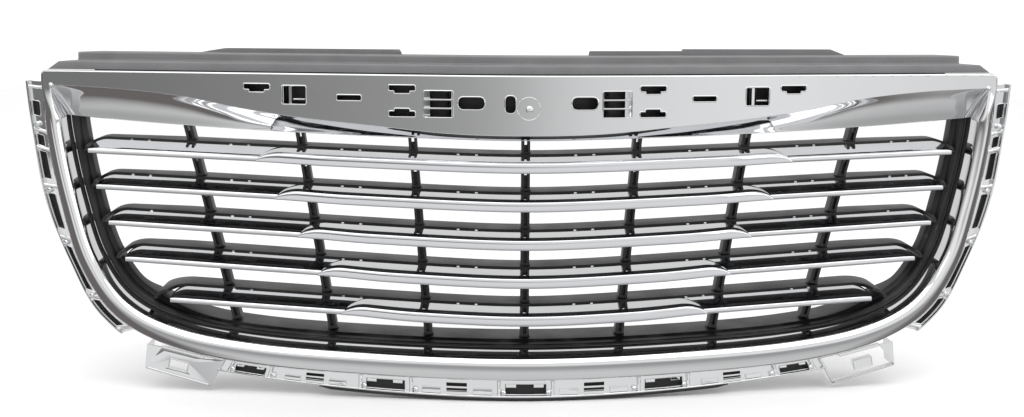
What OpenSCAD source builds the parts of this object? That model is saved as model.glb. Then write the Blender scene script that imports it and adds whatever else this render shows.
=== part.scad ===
// Front grille of a people carrier: a plated outer shell, a black louvred insert,
// five plated bars and a grey close-out panel along the top.
// Millimetres. +Z is up and the face looks towards -Y.

/* [Plan sweep] */
// How far the face falls back for each millimetre away from the centre line
sweep_slope = 0.156; // [0.14:0.002:0.17]
// Length over which the two swept halves blend at the nose
sweep_round = 70; // [60:1:80]

/* [Plated shell] */
// Half width of the surround across its upper corners
surround_half_w = 500; // [499:0.5:502]
// Height of the straight upper edge above the datum line
top_edge_z = 137; // [136:0.5:138]
// Thickness of the plated walls
shell_t = 3; // [2.5:0.5:3.5]
// Depth of the surround's inner wall behind the nose line
rim_depth = 38; // [34:1:40]
// Width of the surround's inner return at the sides
rim_return = 13; // [11:0.5:14]

/* [Emblem panel] */
// Depth of the panel's face behind the nose line
panel_d = 5; // [4:0.5:6]
// Depth of the concave lower edge behind the nose line
cove_d = 26; // [24:0.5:28]
// Width and height of each clip tower
tower_w = 31; // [28:0.5:32]
tower_h = 28; // [26:0.5:29]

/* [Louvres and bars] */
// Vertical distance from one bar to the next
bar_pitch = 39.35; // [39:0.05:39.6]
// Height of the top bar's lower edge at the centre line
bar_top_z = 38.4; // [37.5:0.1:39]
// Height of a bar from its lower edge to the louvre behind it
bar_h = 14.6; // [14:0.1:15]
// Depth of each black vane
vane_depth = 40; // [36:1:42]
// Thickness of each black vane
vane_t = 3.4; // [3:0.1:4]

/* [Ribs] */
// Distance between ribs at the top of the insert
rib_pitch = 117.2; // [116:0.1:118]
// Thickness of a rib
rib_t = 9; // [7:0.5:10]

/* [Close-out panel] */
// Height of the top flange above the datum line
flange_z = 154; // [153:0.5:155]
// Thickness of the grey panel's walls
sheet_t = 2.5; // [2:0.5:3]
// Radius of the middle locating hole
centre_hole_r = 4.2; // [3.5:0.1:5]
// Radius of the four fixing holes
fixing_hole_r = 3.4; // [3:0.1:4]

/* [Hidden] */
SIDES = 48; // segments across the full width of a swept plate
STEPS = 32; // stations along half of the surround
$fn = 48;
EPS = 0.05;
GAP = 0.2; // clearance where separate pieces sit face to face

chrome = [0.80, 0.81, 0.83];
black = [0.10, 0.10, 0.11];
grey = [0.45, 0.45, 0.46];

// The top flange's middle hole is the origin.
hole_d = 64;
hole_pitch = 170; // spacing of the fixing holes

// Outline of the surround and of the clip flange, right half, from the bottom centre
// round to the upper corner; points with the same index lie opposite each other.
rim_half = [[0, -177], [150, -175], [280, -168], [370, -152], [430, -121],
    [466, -68], [surround_half_w - 15, 0], [surround_half_w - 3, 71],
    [surround_half_w - 0.5, 124]];
flange_half = [[0, -196.5], [150, -193], [285, -181.5], [385, -163], [447, -121],
    [479, -62], [502, 2], [513, 76], [518, 125]];
LAST = len(rim_half) - 1;

// Lower edge of the panel's flat face and of its concave return, right half.
crease_half = [[0, 77], [75, 78.5], [150, 85], [225, 92], [290, 101], [350, 112],
    [420, 119], [488, 122]];
cove_half = [[0, 70], [95, 71.5], [220, 75], [350, 81], [471, 89]];

// Bars and vanes from the top: half spans, sag for each millimetre of span, half
// width of the proud middle part.
bar_span = [454.6, 447.1, 435.3, 418.8, 372];
vane_span = [458.4, 451.4, 442.2, 428.2, 389];
bar_sag = [0.030, 0.035, 0.040, 0.045, 0.042];
bar_wide = [250, 231, 208, 187, 163];
bar_step = 28; // length of the leaf-shaped step from narrow to proud
bar_back_d = 44; // depth of the joint between a bar and its vane
end_r = 16; // rounding at the ends of the bars

// Clip windows as index ranges along flange_half, and where the ears sit.
side_slots = [[7.27, 7.57], [6.76, 6.92], [6.3, 6.67], [5.55, 6.08], [4.5, 5.25],
    [3.75, 4.3]];
lower_slots = [0, 0.97, 2.05];
tray_slots = [0.47, 1.5];
ear_from = 2.35;
ear_to = 3.6;

screw_x = [-310, -155, 0, 155, 310];
screw_z = [125, 119, 124, 119, 125];
closeout_screw_x = [-400, -255, -85, 85, 255, 400];
shank_r = 2;
head_r = 4.6;
head_h = 2.6;
header_d = 30;
header_lift = 3;
header_half = 448;
shelf_z = 143;
closeout_half_front = 495;
closeout_half_shelf = 483;
closeout_half_mid = 470;
closeout_half_rear = 450;

function soft_v(x, c) = sqrt(x * x + c * c) - c;
function bow(x) = sweep_slope * soft_v(x, sweep_round);
function mix(a, b, t) = a + (b - a) * t;
function clamp01(t) = max(0, min(1, t));
function smooth(t) = let (c = clamp01(t)) c * c * (3 - 2 * c);
function flip_x(p) = [-p.x, p.y];

// Smooth curve through a half outline's points; the left half mirrors the right.
function knot(p, i) = i < 0 ? flip_x(p[-i])
    : i > len(p) - 1 ? 2 * p[len(p) - 1] - p[2 * (len(p) - 1) - i] : p[i];
function spline(p, u) = let (
        i = min(floor(u), len(p) - 2),
        t = u - i,
        a = knot(p, i - 1), b = knot(p, i), c = knot(p, i + 1), d = knot(p, i + 2)
    ) 0.5 * (2 * b + (c - a) * t + (2 * a - 5 * b + 4 * c - d) * t * t
        + (3 * b - a - 3 * c + d) * t * t * t);
function around(p, u) = u < 0 ? flip_x(spline(p, -u)) : spline(p, u);

// Height of a half outline at a given x, found by halving the interval.
function u_at(p, x, lo, hi, n) = n == 0 ? (lo + hi) / 2
    : let (m = (lo + hi) / 2) spline(p, m).x < x ? u_at(p, x, m, hi, n - 1)
    : u_at(p, x, lo, m, n - 1);
function height_at(p, x) = spline(p, u_at(p, abs(x), 0, len(p) - 1, 14)).y;

// A closed skin through a list of sections. Each section has an even number of points,
// its first half along the face and its second half back along the reverse.
module loft(rings) {
    n = len(rings[0]);
    m = len(rings);
    walls = [for (i = [0:m - 2], j = [0:n - 1]) let (k = (j + 1) % n)
        each [[i * n + j, (i + 1) * n + j, (i + 1) * n + k],
            [i * n + j, (i + 1) * n + k, i * n + k]]];
    caps = [for (j = [0:n / 2 - 2]) let (q = [j, j + 1, n - 2 - j, n - 1 - j], o = (m - 1) * n)
        each [[q[0], q[1], q[2]], [q[0], q[2], q[3]],
            [o + q[0], o + q[2], o + q[1]], [o + q[0], o + q[3], o + q[2]]]];
    polyhedron([for (r = rings, p = r) p], concat(walls, caps));
}

// Plan view strip that follows the sweep between two depths behind the nose line.
module swept_strip(d0, d1, half0, half1) {
    front = [for (i = [-SIDES / 2:SIDES / 2]) let (x = half0 * 2 * i / SIDES) [x, bow(x) + d0]];
    rear = [for (i = [SIDES / 2:-1:-SIDES / 2]) let (x = half1 * 2 * i / SIDES) [x, bow(x) + d1]];
    polygon(concat(front, rear));
}

// Level plate that follows the sweep.
module swept_plate(d0, d1, z0, z1, half0, half1) {
    translate([0, 0, z0])
        linear_extrude(z1 - z0) swept_strip(d0, d1, half0, half1);
}

// Upright plate that follows the sweep and has its children's front view.
module swept_wall(d0, d1, half, z0, z1) {
    intersection() {
        swept_plate(d0, d1, z0, z1, half, half);
        along_y(-10, 130) children();
    }
}

// Extrudes a front view along Y.
module along_y(y0, y1) {
    translate([0, y1, 0])
        rotate([90, 0, 0]) linear_extrude(y1 - y0) children();
}

// Places children at x on the sweep, turned to face squarely out of it.
module on_sweep(x, d, z) {
    slope = sweep_slope * x / sqrt(x * x + sweep_round * sweep_round);
    translate([x, bow(x) + d, z]) rotate([0, 0, atan(slope)]) children();
}

// Moves the datum frame so that the middle locating hole is the origin.
module placed() {
    translate([0, -hole_d, -flange_z]) children();
}

module slot_2d(w, h) {
    r = min(w, h) / 2;
    hull() {
        translate([max(w - h, 0) / 2, max(h - w, 0) / 2]) circle(r);
        translate([-max(w - h, 0) / 2, -max(h - w, 0) / 2]) circle(r);
    }
}

// Slot with a wider middle, as clip tongues need.
module t_slot_2d(side) {
    square([26, 5], center = true);
    translate([0, side * 2.6]) square([15, 5], center = true);
}

module emblem_windows_2d() {
    for (s = [-1, 1]) {
        translate([s * 274, 123]) t_slot_2d(-1);
        translate([s * 236, 115]) square([24, 18], center = true);
        translate([s * 180, 113]) square([24, 5], center = true);
        translate([s * 126.5, 123.5]) t_slot_2d(-1);
        translate([s * 126.5, 97.5]) t_slot_2d(1);
        translate([s * 90, 108]) square([tower_w - 2, tower_h - 2], center = true);
        translate([s * 57, 109]) slot_2d(26, 12);
    }
    translate([-18, 108]) slot_2d(10, 17);
}

module emblem_outline_2d() {
    crease = [for (i = [-SIDES / 2:SIDES / 2]) let (x = 488 * 2 * i / SIDES)
        [x, height_at(crease_half, x)]];
    corner = surround_half_w;
    right = [[corner - 0.8, 124.5], [corner - 1, 131], [corner - 3, top_edge_z - 2],
        [corner - 7, top_edge_z]];
    polygon(concat(crease, right, [for (i = [3:-1:0]) flip_x(right[i])]));
}

// Hollow plated box with three stacked pockets behind each tower window.
module clip_tower() {
    pocket_h = (tower_h - 8) / 3;
    difference() {
        translate([-tower_w / 2, 0, -tower_h / 2]) cube([tower_w, 20, tower_h]);
        for (k = [-1:1])
            translate([-tower_w / 2 + 2, -1, k * (pocket_h + 2) - pocket_h / 2])
                cube([tower_w - 4, 19, pocket_h]);
    }
}

module emblem_panel() {
    color(chrome) placed() {
        difference() {
            union() {
                swept_wall(panel_d, panel_d + shell_t, surround_half_w, 60, 150)
                    emblem_outline_2d();
                swept_plate(panel_d, panel_d + 13, top_edge_z - shell_t, top_edge_z,
                    surround_half_w - 7, surround_half_w - 7);
                for (i = [0:len(screw_x) - 1]) screw_boss(screw_x[i], screw_z[i]);
            }
            along_y(-10, 130) emblem_windows_2d();
            for (i = [0:len(screw_x) - 1])
                translate([screw_x[i], bow(screw_x[i]) + panel_d + shell_t + 1, screw_z[i]])
                    rotate([-90, 0, 0]) cylinder(r = shank_r + EPS, h = 40);
        }
        for (s = [-1, 1]) on_sweep(s * 90, panel_d - 0.8, 108) clip_tower();
    }
}

module screw_boss(x, z) {
    length = header_d - panel_d - 3;
    translate([x, bow(x) + panel_d + 2, z])
        rotate([-90, 0, 0]) cylinder(r = 5, h = length);
}

// Concave return under the panel's flat face.
module emblem_cove() {
    z_mix = [0, 0.3, 0.65, 1];
    d_mix = [0, 0.5, 0.82, 1];
    function section(i) = let (
            x = 488 * i / (SIDES / 2),
            x_low = 471 * i / (SIDES / 2),
            zc = height_at(crease_half, x) - EPS,
            zl = height_at(cove_half, x_low),
            face = [for (k = [0:3]) let (px = mix(x, x_low, z_mix[k]))
                [px, bow(px) + mix(panel_d, cove_d, d_mix[k]), mix(zc, zl, z_mix[k])]]
        ) concat(face, [for (k = [3:-1:0]) face[k] + [0, shell_t, k == 3 ? 0.6 : 0]]);
    color(chrome) placed()
        loft([for (i = [-SIDES / 2:SIDES / 2]) section(i)]);
}

// Width of the surround's front face, from its outer edge to its ridge.
function rim_face(u) = mix(17, 9.5, smooth(abs(u) / LAST));
// The inner return fades away where it meets the panel's concave return.
function rim_fade(z) = clamp01((121 - z) / 34) * 0.94 + 0.06;
function inward(u) = let (
        t = around(rim_half, min(u + 0.02, LAST)) - around(rim_half, max(u - 0.02, -LAST))
    ) [-t.y, t.x] / norm(t);
function rim_point(u, d, w) = let (
        p = around(rim_half, u) + inward(u) * w
    ) [p.x, bow(p.x) + d, p.y];

module surround_rim() {
    function section(u) = let (
            f = rim_face(u),
            k = rim_fade(around(rim_half, u).y),
            t = shell_t
        ) [
            rim_point(u, 14, 0),
            rim_point(u, 9, 0.8),
            rim_point(u, 5.5, 0.35 * f),
            rim_point(u, 3.3, 0.75 * f),
            rim_point(u, 2.5, f),
            rim_point(u, 4.5, f + 4 * k),
            rim_point(u, 10, f + 8 * k),
            rim_point(u, 22, f + (rim_return - 2) * k),
            rim_point(u, rim_depth, f + rim_return * k),
            rim_point(u, rim_depth, f + rim_return * k - t),
            rim_point(u, 23, f + (rim_return - 2) * k - t),
            rim_point(u, 12, f + 8 * k - t),
            rim_point(u, 7.5, f + 3.6 * k - t),
            rim_point(u, 6, f - t),
            rim_point(u, 6.4, 0.7 * f - 0.6),
            rim_point(u, 8.5, 0.35 * f + 1),
            rim_point(u, 11.5, 3.2),
            rim_point(u, 14, 3)
        ];
    color(chrome) placed()
        loft([for (i = [-STEPS:STEPS]) section(LAST * i / STEPS)]);
}

function flange_point(u, f) = mix(around(rim_half, u), around(flange_half, u), f);

// Front view of the strip between two index positions and two width fractions.
module flange_strip_2d(u0, u1, f0, f1) {
    n = max(2, ceil(abs(u1 - u0) * 5));
    polygon(concat([for (i = [0:n]) flange_point(mix(u0, u1, i / n), f0)],
        [for (i = [n:-1:0]) flange_point(mix(u0, u1, i / n), f1)]));
}

module side_clip_flange(s) {
    swept_wall(17, 20, 520, -205, 130) difference() {
        flange_strip_2d(s * ear_to, s * LAST, 0, 1);
        for (w = side_slots) flange_strip_2d(s * w[0], s * w[1], 0.4, 0.78);
    }
    swept_wall(12, 30, 520, -205, 130) flange_strip_2d(s * ear_to, s * LAST, 0.86, 1);
}

module clip_flange_left() {
    color(chrome) placed() side_clip_flange(-1);
}

module clip_flange_right() {
    color(chrome) placed() side_clip_flange(1);
}

module clip_flange_lower() {
    color(chrome) placed() {
        swept_wall(17, 20, 520, -205, 130) difference() {
            flange_strip_2d(-ear_from, ear_from, 0, 1);
            for (s = [-1, 1], u = lower_slots)
                flange_strip_2d(s * u - 0.13, s * u + 0.13, 0.35, 0.8);
            for (s = [-1, 1], u = tray_slots, f = [0.3, 0.6])
                flange_strip_2d(s * u - 0.07, s * u + 0.07, f, f + 0.18);
        }
        swept_wall(12, 30, 520, -205, 130) flange_strip_2d(-ear_from, ear_from, 0.88, 1);
    }
}

// Bracket that carries the bumper skin: a flat plate with a slot and a keyed hole.
module fascia_ear(s) {
    ear = [[315, -166], [398, -150.5], [401, -177], [331, -194.5]];
    difference() {
        union() {
            swept_wall(14, 16.8, 520, -205, 130) polygon([for (p = ear) [s * p.x, p.y]]);
            for (e = [[1, 2], [3, 0]])
                swept_wall(14, 44, 520, -205, 130)
                    ear_edge_2d(s, ear[e[0]], ear[e[1]]);
        }
        along_y(-10, 130) {
            translate([s * 360, -158.5]) rotate(s * 12.5) square([46, 2.6], center = true);
            translate([s * 365, -173]) rotate(s * 12.5) square([20, 10], center = true);
        }
    }
}

module ear_edge_2d(s, a, b) {
    side = [b.y - a.y, a.x - b.x] / norm(b - a) * 2.6;
    polygon([for (p = [a, b, b - side, a - side]) [s * p.x, p.y]]);
}

module fascia_ear_left() {
    color(chrome) placed() fascia_ear(-1);
}

module fascia_ear_right() {
    color(chrome) placed() fascia_ear(1);
}

// Inner edge of the black frame, measured from the surround's outer edge.
function frame_start(u) = rim_face(u) + rim_return + GAP;
function frame_w(u) = mix(6, 12.5, smooth((abs(u) - 2.4) / 1.4));

// Black frame of the insert: a stepped front and a deep wall that carries the vanes.
// Its bottom run is the lowest slat.
module insert_frame() {
    last = LAST * 0.965;
    // As deep as the vanes along the bottom, and shallow up the sides.
    function rear(u) = mix(bar_back_d + vane_depth, 57, smooth((abs(u) - 3) / 1.2));
    function section(u) = let (f = frame_start(u), w = frame_w(u), rear = rear(u)) [
            rim_point(u, 32, f),
            rim_point(u, 31, f + 0.24 * w),
            rim_point(u, 33, f + 0.48 * w),
            rim_point(u, 40, f + 0.6 * w),
            rim_point(u, 43, f + w),
            rim_point(u, rear, f + w + 1),
            rim_point(u, rear, f + w - 1.6),
            rim_point(u, 47, f + w - 2.6),
            rim_point(u, 43.5, f + 0.36 * w),
            rim_point(u, 36, f + 0.2 * w),
            rim_point(u, 35, f + 0.1 * w),
            rim_point(u, 34.5, f)
        ];
    color(black) placed()
        loft([for (i = [-STEPS:STEPS]) section(last * i / STEPS)]);
}

// Height of the header's lower edge, just above the cove's.
function header_low(x) = height_at(cove_half, x) + header_lift;

module header_outline_2d() {
    low = [for (i = [-SIDES / 2:SIDES / 2]) let (x = header_half * 2 * i / SIDES)
        [x, header_low(x)]];
    polygon(concat(low, [[header_half, shelf_z], [-header_half, shelf_z]]));
}

// Upright wall behind the emblem panel, with a level flange for the close-out panel.
module insert_header() {
    color(black) placed() difference() {
        union() {
            swept_wall(header_d, header_d + shell_t, header_half, 60, shelf_z - 1)
                header_outline_2d();
            swept_plate(header_d, 70, shelf_z - 4, shelf_z - 1, header_half, header_half);
        }
        for (i = [0:len(screw_x) - 1])
            translate([screw_x[i], 0, screw_z[i]])
                rotate([-90, 0, 0]) cylinder(r = shank_r + 0.6, h = 130);
        for (x = closeout_screw_x)
            translate([x, bow(x) + hole_d - 2, shelf_z - 10]) cylinder(r = shank_r + 0.6, h = 20);
    }
}

// Height of a bar's lower edge.
function bar_bottom(i, x) = bar_top_z - bar_pitch * i + bar_sag[i] * soft_v(x, 60);
// 0 along a bar or vane, rising to 1 at its tip, for rounding the end.
function end_drop(x, tip, r) = let (e = clamp01((abs(x) - tip + r) / r)) 1 - sqrt(1 - e * e);
// 1 on the proud middle part of a bar, falling to 0 past the step.
function bar_proud(i, x) = smooth((bar_wide[i] + bar_step - abs(x)) / bar_step);
function bar_nose(i, x) = mix(15, 5, bar_proud(i, x));
function bar_back(i, x) = mix(bar_back_d, bar_nose(i, x) + 5, end_drop(x, bar_span[i], end_r) * 0.97);

// Half of the stations along a bar, denser at the step and at the end.
function half_stations(i) = let (s = bar_wide[i], e = bar_span[i]) concat(
        [for (k = [0:5]) (s - 12) * k / 5],
        [s, s + bar_step / 2, s + bar_step],
        [for (k = [1:5]) mix(s + bar_step, e - end_r, k / 5)],
        [for (a = [30, 55, 75, 90]) e - end_r + end_r * sin(a)]
    );
function stations(i) = let (h = half_stations(i), n = len(h)) concat(
        [for (k = [n - 1:-1:1]) -h[k]], h);

module chrome_bar(i) {
    function section(x) = let (
            drop = end_drop(x, bar_span[i], end_r) * 0.97,
            z = bar_bottom(i, x),
            y = bow(x),
            nose = bar_nose(i, x),
            face = mix(4.5, 9.3, bar_proud(i, x)),
            back = bar_back(i, x),
            top = mix(bar_h, face + 0.6, drop)
        ) [
            [x, y + nose, z],
            [x, y + nose - 0.3, z + face * 0.85],
            [x, y + mix(nose, back, 0.07), z + mix(face, top, 0.32)],
            [x, y + mix(nose, back, 0.22), z + mix(face, top, 0.62)],
            [x, y + mix(nose, back, 0.45), z + mix(face, top, 0.84)],
            [x, y + back, z + top],
            [x, y + back, z + top - mix(3.4, 2, drop)],
            [x, y + mix(nose, back, 0.35), z + mix(1.5, 0.5, drop)]
        ];
    color(chrome) placed() loft([for (x = stations(i)) section(x)]);
}

module chrome_bar_1() { chrome_bar(0); }
module chrome_bar_2() { chrome_bar(1); }
module chrome_bar_3() { chrome_bar(2); }
module chrome_bar_4() { chrome_bar(3); }
module chrome_bar_5() { chrome_bar(4); }

// Black vane behind a bar; its ends curve down to the level of the bar's tips.
module louvre(i) {
    tip = vane_span[i];
    r = tip - bar_span[i] + end_r;
    half = concat([for (k = [0:8]) (tip - r) * k / 8],
        [for (a = [30, 55, 75, 90]) tip - r + r * sin(a)]);
    n = len(half);
    xs = concat([for (k = [n - 1:-1:1]) -half[k]], half);
    function top(x) = bar_bottom(i, x) + mix(bar_h + 1, 4, end_drop(x, tip, r));
    color(black) placed()
        swept_wall(bar_back_d + GAP, bar_back_d + vane_depth, tip, -160, 80)
            polygon(concat([for (x = xs) [x, top(x)]],
                [for (k = [len(xs) - 1:-1:0]) [xs[k], top(xs[k]) - vane_t]]));
}

module louvre_1() { louvre(0); }
module louvre_2() { louvre(1); }
module louvre_3() { louvre(2); }
module louvre_4() { louvre(3); }
module louvre_5() { louvre(4); }

// Ribs fan out: wider apart at the top than at the bottom.
function rib_x(k, z) = k * (rib_pitch + 0.078 * (z - 65));
function frame_top(x) = height_at(rim_half, x) + frame_start(0) + 7;
function vane_top(i, x) = bar_bottom(i, x) + bar_h + 0.2;
function vane_under(i, x) = bar_bottom(i, x) + bar_h + 1 - vane_t;

// One rib: a short post between each louvre and the next.
module divider_rib(k) {
    d0 = bar_back_d + 6;
    d1 = d0 + 17;
    function post_ring(z, t) = let (x = rib_x(k, z), y = bow(x)) [
            [x - t / 2, y + d0, z], [x - t / 2, y + d1, z],
            [x + t / 2, y + d1, z], [x + t / 2, y + d0, z]];
    function z_hi(i) = i < 0 ? header_low(rib_x(k, 74)) - 0.8
        : vane_under(i, rib_x(k, 0)) - 0.6;
    function z_lo(i) = i > 4 ? frame_top(rib_x(k, -140)) + 0.4
        : vane_top(i, rib_x(k, 0)) + 0.4;
    color(black) placed()
        for (i = [-1:4]) let (a = z_lo(i + 1), b = z_hi(i))
            loft([post_ring(b, rib_t), post_ring(mix(a, b, 0.25), rib_t),
                post_ring(a, rib_t * 1.3)]);
}

module divider_rib_1() { divider_rib(-3); }
module divider_rib_2() { divider_rib(-2); }
module divider_rib_3() { divider_rib(-1); }
module divider_rib_4() { divider_rib(0); }
module divider_rib_5() { divider_rib(1); }
module divider_rib_6() { divider_rib(2); }
module divider_rib_7() { divider_rib(3); }

// Front view of the lip, with its ends cut at a slant.
module closeout_lip_2d() {
    polygon([[-closeout_half_front, top_edge_z + GAP], [closeout_half_front, top_edge_z + GAP],
        [closeout_half_shelf, shelf_z + sheet_t], [-closeout_half_shelf, shelf_z + sheet_t]]);
}

// Grey close-out panel: front lip, shelf, riser and top flange with two upstands.
module closeout_panel() {
    color(grey) placed() difference() {
        union() {
            swept_wall(19, 21.5, closeout_half_front, top_edge_z + GAP, shelf_z + sheet_t)
                closeout_lip_2d();
            swept_plate(19, 50, shelf_z, shelf_z + sheet_t, closeout_half_shelf,
                closeout_half_mid);
            swept_plate(48, 50.5, shelf_z, flange_z, closeout_half_mid, closeout_half_mid);
            swept_plate(48, 78, flange_z - sheet_t, flange_z, closeout_half_mid,
                closeout_half_rear);
            swept_wall(75.5, 78, closeout_half_rear, 140, 170)
                polygon([[-350, flange_z - 1], [-316, flange_z + 4.5], [-131, flange_z + 5],
                    [-128, flange_z - 1]]);
            swept_wall(75.5, 78, closeout_half_rear, 140, 170)
                polygon([[66, flange_z - 1], [67, flange_z + 4.5], [166, flange_z + 4.5],
                    [167, flange_z + 6.5], [331, flange_z + 6], [350, flange_z - 1]]);
            for (x = closeout_screw_x)
                translate([x, bow(x) + hole_d - 2, shelf_z - 1 + GAP])
                    cylinder(r = 4.6, h = flange_z - shelf_z - 1);
        }
        translate([0, hole_d, flange_z - 20]) cylinder(r = centre_hole_r, h = 30);
        for (s = [-1, 1], k = [1, 2])
            translate([s * k * hole_pitch, bow(k * hole_pitch) + hole_d, flange_z - 20])
                cylinder(r = fixing_hole_r, h = 30);
        for (x = closeout_screw_x)
            translate([x, bow(x) + hole_d - 2, shelf_z - 5]) cylinder(r = shank_r + EPS, h = 13);
    }
}

module pan_screw(length) {
    cylinder(r = shank_r, h = length);
    translate([0, 0, -head_h]) difference() {
        cylinder(r = head_r, h = head_h);
        translate([0, 0, -EPS]) cylinder(r = 2.1, h = 1.6, $fn = 6);
    }
}

module insert_screws() {
    color([0.62, 0.62, 0.6]) placed()
        for (i = [0:len(screw_x) - 1])
            translate([screw_x[i], bow(screw_x[i]) + header_d + shell_t + 0.9, screw_z[i]])
                rotate([90, 0, 0]) pan_screw(20);
}

module closeout_screws() {
    color([0.62, 0.62, 0.6]) placed()
        for (x = closeout_screw_x)
            translate([x, bow(x) + hole_d - 2, shelf_z - 4 - GAP]) pan_screw(10);
}

// Soft strip under the lower flange that closes the gap to the bumper.
module lower_seal() {
    color(black) placed()
        swept_wall(12, 26, 520, -205, 130)
            polygon(concat([for (i = [0:8]) let (x = mix(-215, 215, i / 8))
                    [x, height_at(flange_half, x) - GAP]],
                [for (i = [8:-1:0]) let (x = mix(-215, 215, i / 8))
                    [x, height_at(flange_half, x) - GAP - 2.6]]));
}

emblem_panel();
emblem_cove();
surround_rim();
clip_flange_left();
clip_flange_right();
clip_flange_lower();
fascia_ear_left();
fascia_ear_right();
closeout_panel();
insert_frame();
insert_header();
louvre_1();
louvre_2();
louvre_3();
louvre_4();
louvre_5();
divider_rib_1();
divider_rib_2();
divider_rib_3();
divider_rib_4();
divider_rib_5();
divider_rib_6();
divider_rib_7();
chrome_bar_1();
chrome_bar_2();
chrome_bar_3();
chrome_bar_4();
chrome_bar_5();
insert_screws();
closeout_screws();
lower_seal();
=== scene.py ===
# %% [markdown]
# # A plated front grille
#
# The grille is a plated shell with a slotted badge panel along its top, five plated bars
# over a black louvred insert, clip flanges round the outside and a grey close-out panel.
# The imported CAD model is the frame: every visible piece below is built over it, in the same
# coordinates, and says which CAD node it stands for. Two pieces stand for none, the header's
# stiffeners and the black sheets behind the clip windows, which are painted shade, and the
# header is the CAD node itself.

# %% The frame
import math

import bmesh
import bpy
import numpy as np
from mathutils import Matrix, Vector


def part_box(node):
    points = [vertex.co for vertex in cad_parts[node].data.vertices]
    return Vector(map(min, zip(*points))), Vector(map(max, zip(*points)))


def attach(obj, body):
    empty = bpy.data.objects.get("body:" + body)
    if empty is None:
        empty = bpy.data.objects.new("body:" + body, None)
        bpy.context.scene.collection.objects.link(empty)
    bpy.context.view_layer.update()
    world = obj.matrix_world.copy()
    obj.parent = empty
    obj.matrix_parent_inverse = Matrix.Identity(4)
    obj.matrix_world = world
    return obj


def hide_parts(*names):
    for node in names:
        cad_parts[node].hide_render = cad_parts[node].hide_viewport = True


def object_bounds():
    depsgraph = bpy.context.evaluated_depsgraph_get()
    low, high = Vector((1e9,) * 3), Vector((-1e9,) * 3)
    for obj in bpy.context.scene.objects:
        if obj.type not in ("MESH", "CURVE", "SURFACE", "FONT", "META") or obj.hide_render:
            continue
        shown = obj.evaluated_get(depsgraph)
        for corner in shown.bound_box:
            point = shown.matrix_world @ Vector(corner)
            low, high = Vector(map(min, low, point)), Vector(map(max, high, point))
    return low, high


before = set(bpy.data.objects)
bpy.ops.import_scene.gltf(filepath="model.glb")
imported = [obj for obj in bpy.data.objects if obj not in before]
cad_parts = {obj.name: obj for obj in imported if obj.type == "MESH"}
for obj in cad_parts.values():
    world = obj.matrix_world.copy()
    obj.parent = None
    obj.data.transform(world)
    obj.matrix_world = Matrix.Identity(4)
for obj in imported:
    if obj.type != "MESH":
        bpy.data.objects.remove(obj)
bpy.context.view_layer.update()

print("CAD nodes:", len(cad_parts))

# %% [markdown]
# ## One set of rules for the shape
#
# Every piece follows the same sweep: seen from above, the face falls back on both sides of
# the nose in a soft V. So a piece is drawn flat, as x (across), d (depth behind the nose
# line) and z (height over the datum line) in millimetres, and one function puts it on the
# sweep and turns it into metres. The datum is found from the badge panel's CAD node, so
# nothing is fitted by eye.

# %% Datum and sweep
MM = 0.001
SWEEP_SLOPE = 0.156
SWEEP_ROUND = 70
PANEL_D = 5
TOP_EDGE = 137
FLANGE_TOP = 154

panel_low, panel_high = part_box("emblem_panel")
DATUM = np.array([0, panel_low.y - PANEL_D * MM, panel_high.z - TOP_EDGE * MM])


def soft_v(x, round_length):
    return np.sqrt(x * x + round_length * round_length) - round_length


def bow(x):
    return SWEEP_SLOPE * soft_v(np.asarray(x, float), SWEEP_ROUND)


def bow_slope(x):
    x = np.asarray(x, float)
    return SWEEP_SLOPE * x / np.sqrt(x * x + SWEEP_ROUND ** 2)


def place(x, d, z):
    """Puts points given as x, depth and height in millimetres on the sweep, in metres."""
    x, d, z = np.broadcast_arrays(np.asarray(x, float), np.asarray(d, float), np.asarray(z, float))
    return np.stack([x, bow(x) + d, z], axis=-1) * MM + DATUM


def mix(a, b, t):
    return a + (b - a) * t


def smooth(t):
    t = np.clip(t, 0, 1)
    return t * t * (3 - 2 * t)


print("datum in metres:", np.round(DATUM, 4), "fall-back at 0.5 m:", round(float(bow(500)), 1), "mm")

# %% [markdown]
# ## Outlines
#
# The surround, the clip flange, the crease of the badge panel and the lower edge of its
# cove are each a few points with a smooth curve through them. The left half mirrors the
# right. A Catmull-Rom curve is used because it passes through its points, so each point can
# be read as a place on the real part.

# %% Outline curves
RIM = [[0, -177], [150, -175], [280, -168], [370, -152], [430, -121], [466, -68],
       [485, 0], [497, 71], [499.5, 124]]
FLANGE = [[0, -196.5], [150, -193], [285, -181.5], [385, -163], [447, -121], [479, -62],
          [502, 2], [513, 76], [518, 125]]
CREASE = [[0, 77], [75, 78.5], [150, 85], [225, 92], [290, 101], [350, 112], [420, 119],
          [488, 122]]
COVE = [[0, 70], [95, 71.5], [220, 75], [350, 81], [471, 89]]
LAST = len(RIM) - 1


def curve_through(points, u):
    """Points on the smooth curve at the places u, where whole numbers are the given points."""
    p = np.array(points, float)
    first = p[1] * [-1, 1]
    beyond = 2 * p[-1] - p[-2]
    p = np.vstack([first, p, beyond])
    u = np.atleast_1d(np.asarray(u, float))
    size = np.abs(u)
    i = np.clip(np.floor(size).astype(int), 0, len(points) - 2)
    t = (size - i)[:, None]
    a, b, c, d = p[i], p[i + 1], p[i + 2], p[i + 3]
    q = 0.5 * (2 * b + (c - a) * t + (2 * a - 5 * b + 4 * c - d) * t ** 2
               + (3 * b - a - 3 * c + d) * t ** 3)
    q[:, 0] *= np.where(u < 0, -1, 1)
    return q


def height_on(points, x):
    """Height of an outline at the given x, read off a finely divided curve."""
    fine = curve_through(points, np.linspace(0, len(points) - 1, 1200))
    return np.interp(np.abs(np.asarray(x, float)), fine[:, 0], fine[:, 1])


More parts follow.
